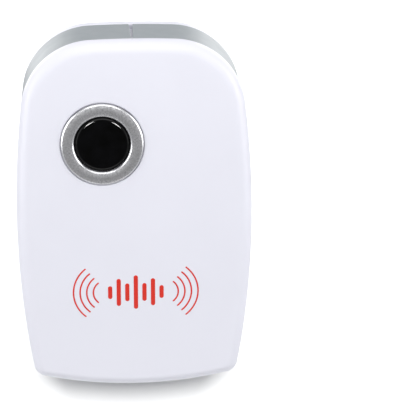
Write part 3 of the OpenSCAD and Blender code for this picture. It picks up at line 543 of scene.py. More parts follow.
class REPELLER_OT_stage(bpy.types.Operator):
    """Makes the camera, the pale floor and the soft studio light"""

    bl_idname = "repeller.stage"
    bl_label = "Stage"

    CAMERA_AZIMUTH, CAMERA_ELEVATION = math.radians(3.6), math.radians(-18.9)
    CAMERA_DISTANCE, FOCAL, SENSOR = 0.6, 203.2, 36.0
    CAMERA_AIM, LAMP_AIM = Vector((-0.01874, -0.028, 0.03067)), Vector((0, -0.015, 0.032))
    FLOOR_HALF = 0.2
    # Strength of the surroundings, and of the dark patch in them, which ends between two cosines
    AROUND, DARK, DARK_FROM, DARK_TO = 0.61, 0.02, 0.72, 0.95
    # Name; metres from the aim: off the table, to each side, to the wide end; size; watts; what it lights
    LAMPS = (
        ("Key", (0.75, 0, 0.62), (0.9, 0.5), 3.0, None),
        ("Front", (0.73, 0.185, 0), (0.12, 0.03), 0.35, "All but the floor"),
        ("Glint", (0.73, 0.185, 0), (0.12, 0.09), 8.0, "Window only"),
        ("Side", (0.35, 0.8, 0.1), (0.5, 0.7), 3.3, "All but the floor"),
        ("Rear", (-0.7, 0.4, 0.35), (0.4, 0.5), 1.5, None),
        ("Rim", (0.28, 0, 0.85), (0.9, 0.25), 1.0, None),
        ("Low fill", (0.42, 0, -0.75), (0.8, 0.4), 1.2, "All but the floor"),
        ("Rear low", (-0.55, 0, -0.6), (0.8, 0.3), 0.8, None),
        ("Floor wash", (0.8, 0, 0.27), (0.6, 0.34), 11.5, "Floor only"),
    )

    def execute(self, context):
        self.camera(context)
        point, normal = table_axes()
        self.floor(context, point, normal)
        self.lights(Vector(normal))
        self.surroundings(context)
        context.scene.view_settings.view_transform = "Standard"
        return {"FINISHED"}

    def camera(self, context):
        """Looks at the front a little from below and from the right, turned over so that the wide end
        is up."""
        a, e = self.CAMERA_AZIMUTH, self.CAMERA_ELEVATION
        back = Vector((math.sin(a) * math.cos(e), -math.cos(a) * math.cos(e), math.sin(e)))
        right = Vector((0, 0, -1)).cross(back).normalized()
        data = bpy.data.cameras.new("Camera")
        data.sensor_width, data.lens = self.SENSOR, self.FOCAL
        data.clip_start, data.clip_end = 0.01, 20
        made = bpy.data.objects.new("Camera", data)
        context.scene.collection.objects.link(made)
        turn = Matrix((right, back.cross(right), back)).transposed().to_4x4()
        made.matrix_world = Matrix.Translation(self.CAMERA_AIM + back * self.CAMERA_DISTANCE) @ turn
        context.scene.camera = made

    def floor(self, context, point, normal):
        """A matt square round point that only its upper side shows."""
        across = np.array((1, 0, 0))
        along = np.cross(normal, across)
        signs = ((-1, -1), (1, -1), (1, 1), (-1, 1))
        mesh = bpy.data.meshes.new("Floor")
        corners = [point + self.FLOOR_HALF * (a * across + b * along) for a, b in signs]
        mesh.from_pydata([tuple(corner) for corner in corners], [], [(0, 1, 2, 3)])
        mesh.update()
        if mesh.polygons[0].normal.dot(Vector(normal)) < 0:
            mesh.flip_normals()
        mesh.materials.append(self.paper())
        sheet = bpy.data.objects.new("Floor", mesh)
        context.scene.collection.objects.link(sheet)
        sheet.visible_shadow = sheet.visible_diffuse = sheet.visible_glossy = False

    def paper(self):
        """Matt paper sweep: a very faint cloudiness of its pulp. Its back is clear."""
        made, tree, shader = finish("Paper sweep", "floor", {"Roughness": 0.9})
        lay(tree, shader, grain(tree, 6, detail=3.0), "#FBFBFB", 0.6)
        surface = shader.outputs[0].links[0].to_socket
        clear = put(tree, "ShaderNodeBsdfTransparent")
        back = put(tree, "ShaderNodeNewGeometry").outputs["Backfacing"]
        mix = put(tree, "ShaderNodeMixShader", {0: back, 1: shader.outputs[0], 2: clear.outputs[0]})
        tree.links.new(mix.outputs[0], surface)
        return made

    def lights(self, normal):
        """Places each lamp of the table by its three distances from the aim, and those off the middle in
        pairs. The floor has a lamp of its own, and the two glints light only the window."""
        across = Vector((1, 0, 0))
        wide = normal.cross(across)
        if wide.z > 0:
            wide.negate()
        sheet, window = bpy.data.objects["Floor"], bpy.data.objects["window_lens"]
        reach = {}
        for name, thing in (("Floor only", sheet), ("All but the floor", sheet), ("Window only", window)):
            reach[name] = bpy.data.collections.new(name)
            reach[name].objects.link(thing)
        reach["All but the floor"].collection_objects[0].light_linking.link_state = "EXCLUDE"
        for name, (off, out, along), size, power, lit in self.LAMPS:
            for side in (-1, 1) if out else (1,):
                spot = self.LAMP_AIM + off * normal + side * out * across + along * wide
                made = lamp(name, spot, self.LAMP_AIM, size, power)
                if lit:
                    made.light_linking.receiver_collection = reach[lit]

    def surroundings(self, context):
        """White to the camera. To all else an even pale grey, dark round the direction that the window
        mirrors to the camera: twice its normal's share of the view, less the view."""
        origin, axes = window_frame()
        view = (context.scene.camera.location - Vector(origin) * MM).normalized()
        facing = Vector(axes[:, 2])
        mirrored = 2 * facing.dot(view) * facing - view
        world = bpy.data.worlds.new("Studio")
        world.use_nodes = True
        tree = world.node_tree
        tree.nodes.clear()
        way = put(tree, "ShaderNodeTexCoord").outputs["Generated"]
        near = put(tree, "ShaderNodeVectorMath", {0: way, 1: mirrored}, operation="DOT_PRODUCT")
        ends = {
            "Value": near.outputs["Value"], "From Min": self.DARK_FROM, "From Max": self.DARK_TO,
            "To Min": self.AROUND, "To Max": self.DARK,
        }
        strength = put(tree, "ShaderNodeMapRange", ends, interpolation_type="SMOOTHSTEP").outputs[0]
        pale = put(tree, "ShaderNodeBackground", {"Color": (1, 1, 1, 1), "Strength": 1.0})
        around = put(tree, "ShaderNodeBackground", {"Color": (0.97, 0.98, 1, 1), "Strength": strength})
        seen = put(tree, "ShaderNodeLightPath").outputs["Is Camera Ray"]
        mix = put(tree, "ShaderNodeMixShader", {0: seen, 1: around.outputs[0], 2: pale.outputs[0]})
        put(tree, "ShaderNodeOutputWorld", {"Surface": mix.outputs[0]})
        context.scene.world = world


# --- Operators: housing ----------------------------------------------------------------


def housing_finish():
    """One moulded white ABS for the cover and the rear housing: a clean cool white with a soft sheen."""
    found = bpy.data.materials.get("Moulded white ABS")
    return found or moulded("Moulded white ABS", "housing", "#E2E2EB", 0.36, 0.35, 0.0025)


def slot_columns(loop):
    """Which cells of the outline lie in a sound slot at the upper end."""
    middles = (loop + np.roll(loop, -1, 0)) / 2
    edges = slot_edges().reshape(-1, 2)
    hit = (middles[:, :1] > edges[:, 0] - 1e-3) & (middles[:, :1] < edges[:, 1] + 1e-3)
    return hit.any(1) & (middles[:, 1] > z_high() - SLOT_DOWN)


class REPELLER_OT_cover(bpy.types.Operator):
    """Makes the domed white front cover"""

    bl_idname = "repeller.cover"
    bl_label = "Front cover"

    SEAT_GAP, SEAT_DEPTH = 0.25, 0.8
    BOSS_R, BOSS_END, COUNTERBORE_R, COUNTERBORE_END = 10.3, -6.2, 8.9, -3.2
    INNER_R, POST_R, PILOT_R = 1.2, 3, 1
    # Rounded edges as steps of (away from the edge, depth): round the ring's seat and beside the band
    SEAT_EDGE, BAND_EDGE = ((0, 0.12), (0.08, 0.03)), ((0, 0.3), (0.03, 0.12), (0.1, 0.03), (0.25, 0))

    def execute(self, context):
        """Loops round the window, at even shares of the way from its seat to the rim, laid on the dome;
        then the edge's quarter circle, the skirt, the inner quarter circle, the dome's inner side back to
        the window, and the boss round it. The first loop joins the last."""
        origin, axes = window_frame()
        centre = origin[[0, 2]]
        edge_r, inner = mm("front_edge_r"), self.INNER_R
        seat_r, hole_r = mm("ring_r") + self.SEAT_GAP, mm("lens_r") + FIT_GAP
        rim = outline(edge_r)
        way = rim - centre
        way /= np.linalg.norm(way, axis=1, keepdims=True)

        def ring(r, h):
            return origin + np.column_stack((way * r, np.full(len(way), h))) @ axes.T

        def disc(r):
            return centre + way * r

        def between(a, b, shares, behind):
            return [dome(a + (b - a) * s, behind) for s in shares]

        y_part, y_end = y_front_part(), y_joint()
        depths = (y_part, y_end - SLOT_L / 2, y_end)
        rows = [ring(seat_r, -self.SEAT_DEPTH), *(dome(disc(seat_r + d), g) for d, g in self.SEAT_EDGE)]
        rows += between(disc(seat_r + 0.25), rim, np.linspace(0, 1, 30)[:-1] ** 1.15, 0)
        rows += [dome(outline(edge_r * (1 - math.sin(t))), edge_r * (1 - math.cos(t))) for t in quarter(16)]
        rows += [level(outline(d), y_part - g) for d, g in self.BAND_EDGE]
        first = len(rows) + 1
        rows += [level(outline(SKIRT_OUT), y) for y in depths]
        rows += [level(outline(SKIRT_IN), y) for y in depths[::-1]]
        last = len(rows) - 2
        rows += [
            dome(outline(SKIRT_IN + inner * (1 - math.cos(t))), FACE_WALL + inner * (1 - math.sin(t)))
            for t in quarter(5)
        ]
        rows += between(outline(SKIRT_IN + inner), disc(self.BOSS_R), np.linspace(0, 1, 10)[1:], FACE_WALL)
        rows += [
            ring(r, h)
            for r, h in (
                (self.BOSS_R, self.BOSS_END), (self.COUNTERBORE_R, self.BOSS_END),
                (self.COUNTERBORE_R, self.COUNTERBORE_END), (hole_r, self.COUNTERBORE_END),
                (hole_r, -self.SEAT_DEPTH),
            )
        ]
        skin = Skin()
        skin.slotted(rows, [(first, last)], slot_columns(rim))
        z, start = z_high() - CASE_SCREW_DOWN, POST_END - FIT_GAP
        end = fall(np.array((CASE_SCREW_X + self.POST_R, z + self.POST_R))) - body_d() + 1
        profile = [(self.POST_R, start), (self.POST_R, end), (self.PILOT_R, end), (self.PILOT_R, start)]
        for x in (-CASE_SCREW_X, CASE_SCREW_X):
            skin.turned(profile, along_y(x, z), POST_STEPS, closed=True)
        skin.build("front_cover_shell", "housing_white", [housing_finish()], ["front_cover"])
        return {"FINISHED"}


class REPELLER_OT_band(bpy.types.Operator):
    """Makes the grey side band with its wedge seam and sound slots"""

    bl_idname = "repeller.band"
    bl_label = "Side band"

    # The groove beside the band is twice as wide as in the frame, so that its dark line shows
    GROOVE, EDGE_R = 0.2, 0.16
    SEAM_FRONT, SEAM_REAR, SEAM_OVER = 0.35, 1.0, 1.0

    def execute(self, context):
        """The outline at four depths outside and four inside, open at the seam, whose width grows evenly
        with depth. Its two ends are closed by flat faces."""
        y_front, y_rear, y_mid = y_front_part() + self.GROOVE, -mm("rear_d") - self.GROOVE, y_joint()
        depths = np.array((y_front, y_mid - SLOT_L / 2, y_mid + SLOT_L / 2, y_rear))
        share = (depths - (y_front_part() - self.SEAM_OVER)) / (mm("band_w") + 2 * self.SEAM_OVER)
        seams = (self.SEAM_FRONT + (self.SEAM_REAR - self.SEAM_FRONT) * share) / 2
        outer, inner = outline(BAND_INSET), outline(BAND_INSET + BAND_T)

        def strip(loop, y, seam):
            row = level(np.vstack((loop, loop[:1])), y)
            row[[0, -1], 0] = seam, -seam
            return row

        rows = [strip(outer, y, s) for y, s in zip(depths, seams)]
        rows += [strip(inner, y, s) for y, s in zip(depths[::-1], seams[::-1])]
        skin = Skin()
        skin.slotted(rows, [(1, 2), (5, 6)], slot_columns(outer), around=False)
        for end in (0, -1):
            skin.add(np.array(rows)[:, end], [list(range(len(rows)))])
        piece = skin.build("side_band_strip", "band_grey", [self.finish()], ["side_band"])
        soften(piece, self.EDGE_R)
        return {"FINISHED"}

    def finish(self):
        """Smoke grey ABS strip, moulded with a satin skin drawn along the strip: its lines run round the
        body, so highlights smear along them."""
        made, tree, shader = finish("Smoke grey ABS", "band", {"IOR": 1.53, "Roughness": 0.42})
        lay(tree, shader, grain(tree, 0.35, (26, 1, 26), detail=3.0, rough=0.6), "#A0A5A8", 0.25)
        lay(tree, shader, grain(tree, 4, detail=3.0), rough=(0.38, 0.48))
        lay(tree, shader, grain(tree, 0.3), depth=0.002)
        return made


class REPELLER_OT_rear(bpy.types.Operator):
    """Makes the white rear housing with its large rounding, recesses and posts"""

    bl_idname = "repeller.rear"
    bl_label = "Rear housing"

    INNER_EDGE_R, RECESS_R, SCREW_HOLE_R, POST_R, POST_TOP_R = 3.3, 2.6, 1.25, 4, 3.8
    # Width, height and corner radius of the label's recess
    LABEL, LABEL_Z, LABEL_SEAT, BLADE_SLOT_R = (24.0, 14.0, 1.5), 40.0, 0.3, 0.15
    # Rounded edges as steps of (away from the edge, depth): beside the band and round the recesses
    BAND_EDGE = ((0, 0.25), (0.07, 0.08), (0.25, 0))
    BLADE_EDGE = ((0.2, 0), (0.06, -0.05), (0, -0.2))
    SCREW_EDGE = ((0.25, 0), (0.08, -0.06), (0, -0.25))
    LABEL_EDGE = ((0.12, 0), (0, -0.12))
    # Studs: distances from the middle, heights, radius, Y of the end and Y of the pilot hole's foot
    BOARD_STUDS = ((-19, 19), (12, 52), 2.5, -8.0, -3.4)
    RETAINER_STUDS = ((-14.5, 14.5), (0,), 3, -4.6, -2.8)

    def execute(self, context):
        """Loops of the outline: the rear edge's quarter circle, the side up to the band, the tongue with
        its step, and the inner quarter circle. Flat sheets with holes close both middles."""
        skin = Skin()
        y_part, edge_r, wall, inner_r = -mm("rear_d"), mm("rear_edge_r"), -REAR_WALL, self.INNER_EDGE_R
        y_end, y_slot, y_tongue = y_joint() + FIT_GAP, y_joint() + SLOT_L / 2, y_joint() - TONGUE_LEN
        guard, inner_guard = REAR_INSET + edge_r + 0.4, TONGUE_IN + inner_r + 0.05
        rows = [level(outline(guard), 0)]
        rows += [
            level(outline(REAR_INSET + edge_r * (1 - math.sin(t))), -edge_r * (1 - math.cos(t)))
            for t in quarter(20)
        ]
        rows += [level(outline(REAR_INSET + d), y_part + g) for d, g in self.BAND_EDGE]
        first = len(rows) + 1
        rows += [
            level(outline(d), y)
            for d, y in (
                (SKIRT_OUT, y_part), (SKIRT_OUT, y_slot), (SKIRT_OUT, y_end), (TONGUE_OUT, y_end),
                (TONGUE_OUT, y_tongue), (TONGUE_IN, y_tongue), (TONGUE_IN, y_slot),
            )
        ]
        last = len(rows) - 1
        rows += [
            level(outline(TONGUE_IN + inner_r * (1 - math.sin(t))), wall - inner_r * (1 - math.cos(t)))
            for t in quarter(7)[::-1]
        ]
        rows += [level(outline(inner_guard), wall)]
        skin.slotted(rows, [(first, last)], slot_columns(outline(0)), closed=False)
        gap, z_screw = mm("blade_gap") / 2, z_high() - CASE_SCREW_DOWN
        size = (mm("blade_t") + 2 * FIT_GAP, mm("blade_w") + 2 * FIT_GAP, self.BLADE_SLOT_R)
        holes = []
        for x in (-gap, gap):
            holes.append(self.recess(skin, lambda c, x=x: rounded(x, 0, size, c), self.BLADE_EDGE, wall))
        bore = self.RECESS_R
        for x in (-CASE_SCREW_X, CASE_SCREW_X):
            holes.append(
                self.recess(skin, lambda c, x=x: circle(x, z_screw, bore + c), self.SCREW_EDGE, wall)
            )
        mouths, feet = map(list, zip(*holes))
        mouth, foot = self.recess(
            skin, lambda c: rounded(0, self.LABEL_Z, self.LABEL, c, 10), self.LABEL_EDGE, -self.LABEL_SEAT
        )
        skin.sheet(foot, (), lambda flat: level(flat, -self.LABEL_SEAT))
        skin.sheet(outline(guard), [*mouths, mouth], lambda flat: level(flat, 0))
        skin.sheet(outline(inner_guard), feet, lambda flat: level(flat, wall))
        root = 0.02 + wall
        profile = [
            (self.RECESS_R, root), (self.RECESS_R, SCREW_SEAT), (self.SCREW_HOLE_R, SCREW_SEAT),
            (self.SCREW_HOLE_R, POST_END), (self.POST_TOP_R, POST_END), (self.POST_R, POST_END + 0.2),
            (self.POST_R, root),
        ]
        for x in (-CASE_SCREW_X, CASE_SCREW_X):
            skin.turned(profile, along_y(x, z_screw), POST_STEPS, closed=True)
        for across, up, r, end, floor in (self.BOARD_STUDS, self.RETAINER_STUDS):
            stud = [(0, root), (r, root), (r, end), (1, end), (1, floor), (0, floor)]
            for x in across:
                for z in up:
                    skin.turned(stud, along_y(x, z), 32)
        skin.build("rear_housing_shell", "housing_white", [housing_finish()], ["rear_housing"])
        return {"FINISHED"}

    def recess(self, skin, shape, edge, foot):
        """A recess's wall: the shape grown by each step of its edge, at the step's depth, and then
        straight to its foot. Returns its mouth and its foot."""
        loops = [shape(grow) for grow, _ in edge]
        depths = [y for _, y in edge]
        skin.grid([level(loop, y) for loop, y in zip((*loops, loops[-1]), (*depths, foot))])
        return loops[0], loops[-1]


# --- Operators: window and mark --------------------------------------------------------


class REPELLER_OT_ring(bpy.types.Operator):
    """Makes the aluminium ring with its two bright turned bevels"""

    bl_idname = "repeller.ring"
    bl_label = "Lens ring"

    TOP, FOOT, BEVEL_FOOT, BEVEL_END = 0.43, -0.75, 0.16, 0.41

    def execute(self, context):
        """A profile of (radius, height) turned about the window's axis: foot, outer side, outer bevel,
        flat top and inner bevel."""
        r_out, r_in = mm("ring_r"), mm("lens_r") + FIT_GAP
        profile = [
            (r_in, self.FOOT), (r_out, self.FOOT), (r_out, self.BEVEL_FOOT), (r_out - 0.03, 0.2),
            (r_out - 0.33, self.BEVEL_END), (r_out - 0.38, self.TOP), (r_in + 0.34, self.TOP),
            (r_in + 0.29, self.BEVEL_END), (r_in + 0.03, self.BEVEL_FOOT), (r_in, 0.12),
        ]
        marks = np.array((0, 0, 1, 1, 1, 0, 1, 1, 1, 0))
        skin = Skin()
        skin.turned(profile, on_window, 192, marks, closed=True)
        skin.build("window_ring", "ring_metal", [self.blasted(), self.bright()], ["lens_ring"], sharp=25)
        return {"FINISHED"}

    def blasted(self):
        """Aluminium blasted with fine glass beads and anodised: an even grey with a sparkle of grains. The
        grains are drawn 0.55 mm wide, some five times the real ones, so that they show."""
        return metal("Bead-blasted aluminium", "ring", "#7A7A7E", 0.46, 0.55, depth=0.03, swing=0.14)

    def bright(self):
        """Aluminium cut with a diamond tool after the blasting: a brighter, sharper bevel than the flat
        beside it. Its faint unevenness is drawn 0.25 mm wide, coarser than the real one, so that it shows."""
        return metal("Diamond-cut aluminium", "#E2E2E4", "#CFCFD2", 0.26, 0.25, depth=0.001, swing=0.05)


class REPELLER_OT_lens(bpy.types.Operator):
    """Makes the glossy black window"""

    bl_idname = "repeller.lens"
    bl_label = "Window"

    EDGE_R, FLANGE_R, FLANGE_TOP, FLANGE_T = 1.1, 8.6, -3.25, 0.9

    def execute(self, context):
        """A profile of (radius, height) turned about the window's axis: flat face, quarter circle, side
        and the flange behind the cover's wall."""
        r, edge, top, t = mm("lens_r"), self.EDGE_R, self.FLANGE_TOP, quarter(14)
        foot = top - self.FLANGE_T
        round_off = np.column_stack((r - edge + edge * np.sin(t), edge * np.cos(t) - edge))
        face = [(s * (r - edge), 0.0) for s in np.linspace(0, 1, 8)[:-1]]
        body = [(r, top), (self.FLANGE_R, top), (self.FLANGE_R, foot), (0, foot)]
        skin = Skin()
        skin.turned([*face, *round_off, *body], on_window, 160)
        skin.build("window_lens", "window_black", [self.finish()], ["lens"])
        return {"FINISHED"}

    def finish(self):
        """Polished black acrylic: near-black with sharp weak reflections, a few hairline marks from
        wiping and no visible grain."""
        sockets = {"IOR": 1.49, "Roughness": 0.04, "Specular IOR Level": 0.2}
        made, tree, shader = finish("Polished black acrylic", "window", sockets)
        lay(tree, shader, grain(tree, 3, detail=3.0), "#050506", 0.5)
        lay(tree, shader, grain(tree, 0.3, (18, 1, 1.4)), rough=(0.03, 0.07))
        lay(tree, shader, grain(tree, 5, detail=1.0), depth=0.0015)
        return made


def stroke(skin, points, width):
    """A thin raised line of ink on the dome: its outline runs along one side of the way, round the end,
    back along the other side and round the start, and shrinks towards the way in a few steps."""
    way = np.gradient(points, axis=0)
    way /= np.linalg.norm(way, axis=1, keepdims=True)
    side = np.column_stack((-way[:, 1], way[:, 0]))
    t = np.linspace(0, math.pi, 10)[1:-1, None]
    end = np.cos(t) * side[-1] + np.sin(t) * way[-1]
    start = -np.cos(t) * side[0] - np.sin(t) * way[0]
    turn_end, turn_start = (np.repeat(tip, len(t), 0) for tip in (points[-1:], points[:1]))
    core = np.vstack((points, turn_end, points[::-1], turn_start))
    out = np.vstack((side, end, -side[::-1], start))
    sunk, edge, top = 0.15, -0.012, -0.035
    steps = ((0, sunk), (width, sunk), (width, edge), (width - 0.05, -0.03), (width * 0.5, top), (0, top))
    skin.grid([dome(core + out * w / 2, behind) for w, behind in steps])


class REPELLER_OT_mark(bpy.types.Operator):
    """Makes the printed red mark: bars like a sound's wave between two sets of arcs"""

    bl_idname = "repeller.mark"
    bl_label = "Printed mark"

    BAR_PITCH, BAR_W, BAR_HEIGHTS = 2.2, 1.1, (9.4, 5, 7.6, 3.6)
    ARC_X, ARC_RADII, ARC_HALF, ARC_W = 7.4, (3.5, 5.2, 6.9, 8.6), math.radians(50), 0.4

    def execute(self, context):
        """Bars: upright lines at even steps, their heights from the table outwards. Arcs: at each radius,
        points (r cos t, r sin t) for t within 50 degrees of straight out, on both sides."""
        skin = Skin()
        z = z_high() - mm("mark_down")
        for i, height in enumerate(self.BAR_HEIGHTS):
            reach = (height - self.BAR_W) / 2
            for x in {-i * self.BAR_PITCH, i * self.BAR_PITCH}:
                line = np.column_stack((np.full(12, float(x)), np.linspace(z - reach, z + reach, 12)))
                stroke(skin, line, self.BAR_W)
        t = np.linspace(-self.ARC_HALF, self.ARC_HALF, 40)
        for r in self.ARC_RADII:
            for side in (-1, 1):
                line = np.column_stack((side * (self.ARC_X + r * np.cos(t)), z + r * np.sin(t)))
                stroke(skin, line, self.ARC_W)
        skin.build("sound_mark", "mark_red", [self.finish()], ["printed_mark"], sharp=50)
        return {"FINISHED"}

    def finish(self):
        """Pad-printed ink: a thin satin film, a little uneven in tone where the pad left less ink."""
        made, tree, shader = finish("Red printing ink", "mark", {"IOR": 1.5, "Roughness": 0.34})
        lay(tree, shader, grain(tree, 0.5, detail=3.0), "#C92F24", 0.5)
        lay(tree, shader, grain(tree, 0.35), depth=0.003)
        return made


# --- Operators: plug and screws --------------------------------------------------------


def set_in(loop, amount):
    """Moves each corner of a flat loop inwards by amount, along the mean of its two edges' normals."""
    edge = np.roll(loop, -1, 0) - loop
    edge /= np.linalg.norm(edge, axis=1, keepdims=True)
    normal = np.column_stack((-edge[:, 1], edge[:, 0]))
    before = np.roll(normal, 1, 0)
    share = 1 + (normal * before).sum(1, keepdims=True)
    return loop + np.reshape(amount, (-1, 1)) * (normal + before) / share


class REPELLER_OT_blades(bpy.types.Operator):
    """Makes the two stamped blades with chamfered tips and holes"""

    bl_idname = "repeller.blades"
    bl_label = "Plug blades"

    TAIL_END, TAIL_HALF, SHOULDER, SHOULDER_HALF = -10.6, 1.5, -4.6, 5
    EDGE_CHAMFER, TIP_CHAMFER, CHAMFER_DEPTH = 0.12, 0.5, 0.42
    # Y, radius, points and chamfer of the blade's hole and of the tail's eye
    HOLES = ((11.8, 1.6, 56, 0.14), (-9.1, 0.6, 24, 0.05))

    def execute(self, context):
        """One blade at half the gap on either side of the middle."""
        finishes = [self.plated(), self.sheared()]
        for x, side in ((-mm("blade_gap") / 2, "left"), (mm("blade_gap") / 2, "right")):
            self.blade(x).build(f"blade_{side}", "nickel", finishes, [f"plug_blade_{side}"], sharp=28)
        return {"FINISHED"}

    def profile(self):
        """Loop of (y, z): tail, shoulder and blade with an arched tip; and each corner's chamfer."""
        w, tip_y = mm("blade_w") / 2, mm("blade_len") - BLADE_TIP_R
        reach = math.asin(w / BLADE_TIP_R)
        tip = arc((tip_y, 0), BLADE_TIP_R, -reach, reach, 24)
        tip = np.vstack((tip, (tip_y + BLADE_TIP_R * math.cos(reach), w)))
        tail, shoulder, seat = self.TAIL_HALF, self.SHOULDER_HALF, -REAR_WALL - 0.05
        foot = [
            (self.TAIL_END, tail), (self.TAIL_END, -tail), (self.SHOULDER, -tail), (self.SHOULDER, -shoulder),
            (seat, -shoulder), (seat, -w),
        ]
        back = [(seat, w), (seat, shoulder), (self.SHOULDER, shoulder), (self.SHOULDER, tail)]
        run = np.linspace(0, tip[0, 0] - 0.6, 6)
        low = np.column_stack((run, np.full(6, -w)))
        loop = np.vstack((foot, low, tip, low[::-1] * (1, -1), back))
        amount = np.full(len(loop), self.EDGE_CHAMFER)
        start = len(foot) + len(low)
        amount[start : start + len(tip)] = self.TIP_CHAMFER
        return loop, amount

    def blade(self, x):
        """Two flat faces, round which a chamfer of several steps runs over both edges and the holes: at
        each step's angle the loop is set in by 1 - sine of it and lowered by 1 - cosine."""
        loop, amount = self.profile()
        half = mm("blade_t") / 2

        def at(flat, depth):
            depth = np.broadcast_to(np.reshape(depth, (-1,)), len(flat))
            return np.column_stack((x + depth, flat))

        turn = quarter(5)
        steps = [(1, a) for a in turn] + [(-1, a) for a in turn[::-1]]
        sheared = np.where(np.arange(len(steps) - 1) == len(turn) - 1, 1, 0)
        drop = np.minimum(amount, self.CHAMFER_DEPTH)
        skin = Skin()
        rows = [
            at(set_in(loop, amount * (1 - math.sin(a))), s * (half - drop * (1 - math.cos(a))))
            for s, a in steps
        ]
        skin.grid(rows, mark=sheared)
        rims = []
        for y, r, count, c in self.HOLES:
            ring = circle(y, 0, r, count) - (y, 0)
            rows = [
                at((y, 0) + ring * (1 + c * (1 - math.sin(a)) / r), s * (half - c * (1 - math.cos(a))))
                for s, a in steps
            ]
            skin.grid(rows, mark=sheared)
            rims.append(rows[0][:, 1:])
        for s in (1, -1):
            skin.sheet(set_in(loop, amount), rims, lambda flat, s=s: at(flat, s * half))
        return skin

    def plated(self):
        """Nickel-plated brass strip: warm grey, with fine rolling lines along the blade that stretch its
        highlights. The lines are drawn 0.12 mm apart, coarser than real, so that they show."""
        return metal("Nickel-plated brass", "blade", "#B3A99B", 0.26, 0.12, (1, 40, 1), 0.0025, 0.07)

    def sheared(self):
        """The blade's edge where the die sheared it: plated over torn metal, with short lines across."""
        return metal("Plated sheared edge", "#D8D0C2", "#A89F90", 0.3, 0.14, (40, 1, 1), 0.005, 0.1)


class REPELLER_OT_screws(bpy.types.Operator):
    """Makes the two case screws with domed cross-recessed heads and threads"""

    bl_idname = "repeller.screws"
    bl_label = "Case screws"

    HEAD_R, HEAD_H, SHANK_R, CORE_R, SHANK_L, PITCH = 2.2, 1.5, 0.95, 0.7, 16.0, 1.1
    CROSS_HALF, CROSS_REACH, CROSS_DEPTH = 0.32, 1.4, 0.85

    def execute(self, context):
        """One screw in each of the rear housing's two recesses."""
        skin = Skin()
        for x in (-CASE_SCREW_X, CASE_SCREW_X):
            self.screw(skin, x, z_high() - CASE_SCREW_DOWN)
        skin.build("housing_screws", "screw_steel", [self.steel()], ["case_screws"], sharp=40)
        return {"FINISHED"}

    def steel(self):
        """Zinc-plated steel: a bluish grey whose fine dull spots break up the highlights."""
        return metal("Zinc-plated steel", "#C4C6C8", "#A6A9AD", 0.3, 0.3)

    def screw(self, skin, x, z):
        """Head: height falls from the middle with the fourth power of the radius, less a cross whose arms
        narrow outwards, with smooth edges. Shank: the thread is a triangle wave of the turn less the depth
        over the pitch, and the end is a cone."""
        t = np.linspace(0, 2 * math.pi, 96, endpoint=False)
        r = np.concatenate((np.linspace(0, 1.9, 30), [2.1, 2.19]))[:, None]
        top = self.HEAD_H - 0.7 * (r / self.HEAD_R) ** 4 + 0 * t
        across = np.minimum(np.abs(np.sin(t)), np.abs(np.cos(t))) * r
        arm = self.CROSS_HALF * (1 - r / 3)
        edge = np.clip((arm - across) / 0.1 + 0.5, 0, 1) * np.clip((self.CROSS_REACH - r) / 0.15, 0, 1)
        top = top - self.CROSS_DEPTH * edge * edge * (3 - 2 * edge)
        seat = SCREW_SEAT
        place = along_y(x, z)
        head = place(r * np.cos(t), r * np.sin(t), seat + top)
        rim = np.array([(self.HEAD_R, 0.7), (self.HEAD_R, 0.08), (self.HEAD_R - 0.08, 0), (self.SHANK_R, 0)])
        skirt = place(rim[:, :1] * np.cos(t), rim[:, :1] * np.sin(t), seat + rim[:, 1:] + 0 * t)
        down = np.linspace(0.05, self.SHANK_L, 150)[:, None]
        turn = (t / (2 * math.pi) - down / self.PITCH) % 1
        ridge = np.clip(1 - np.abs(turn - 0.5) * 5, 0, 1) * np.clip(down, 0, 1)
        narrow = np.clip((self.SHANK_L - down) / 1.6, 0.0, 1)
        radius = (self.CORE_R + (self.SHANK_R - self.CORE_R) * ridge) * narrow
        shank = place(radius * np.cos(t), radius * np.sin(t), seat - down)
        skin.grid(np.concatenate((head, skirt, shank)))


# --- Operators: finishes of the frame's own nodes --------------------------------------


def dress(finished, *nodes):
    """Gives frame nodes one finish in place of their own."""
    for name in nodes:
        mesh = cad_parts[name].data
        mesh.materials.clear()
        mesh.materials.append(finished)


def dress_rows(kind, rows):
    """Makes each row's finish by the function kind and gives it to the nodes that the row ends with."""
    for *look, nodes in rows:
        dress(kind(*look), *nodes.split())


def from_middle(tree, node):
    """The place from the middle of a frame node's box, and half of the box's size."""
    low, high = (Vector(corner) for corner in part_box(node))
    place = put(tree, "ShaderNodeTexCoord").outputs["Object"]
    local = put(tree, "ShaderNodeVectorMath", {0: place, 1: (low + high) / 2}, operation="SUBTRACT")
    return local.outputs[0], (high - low) / 2


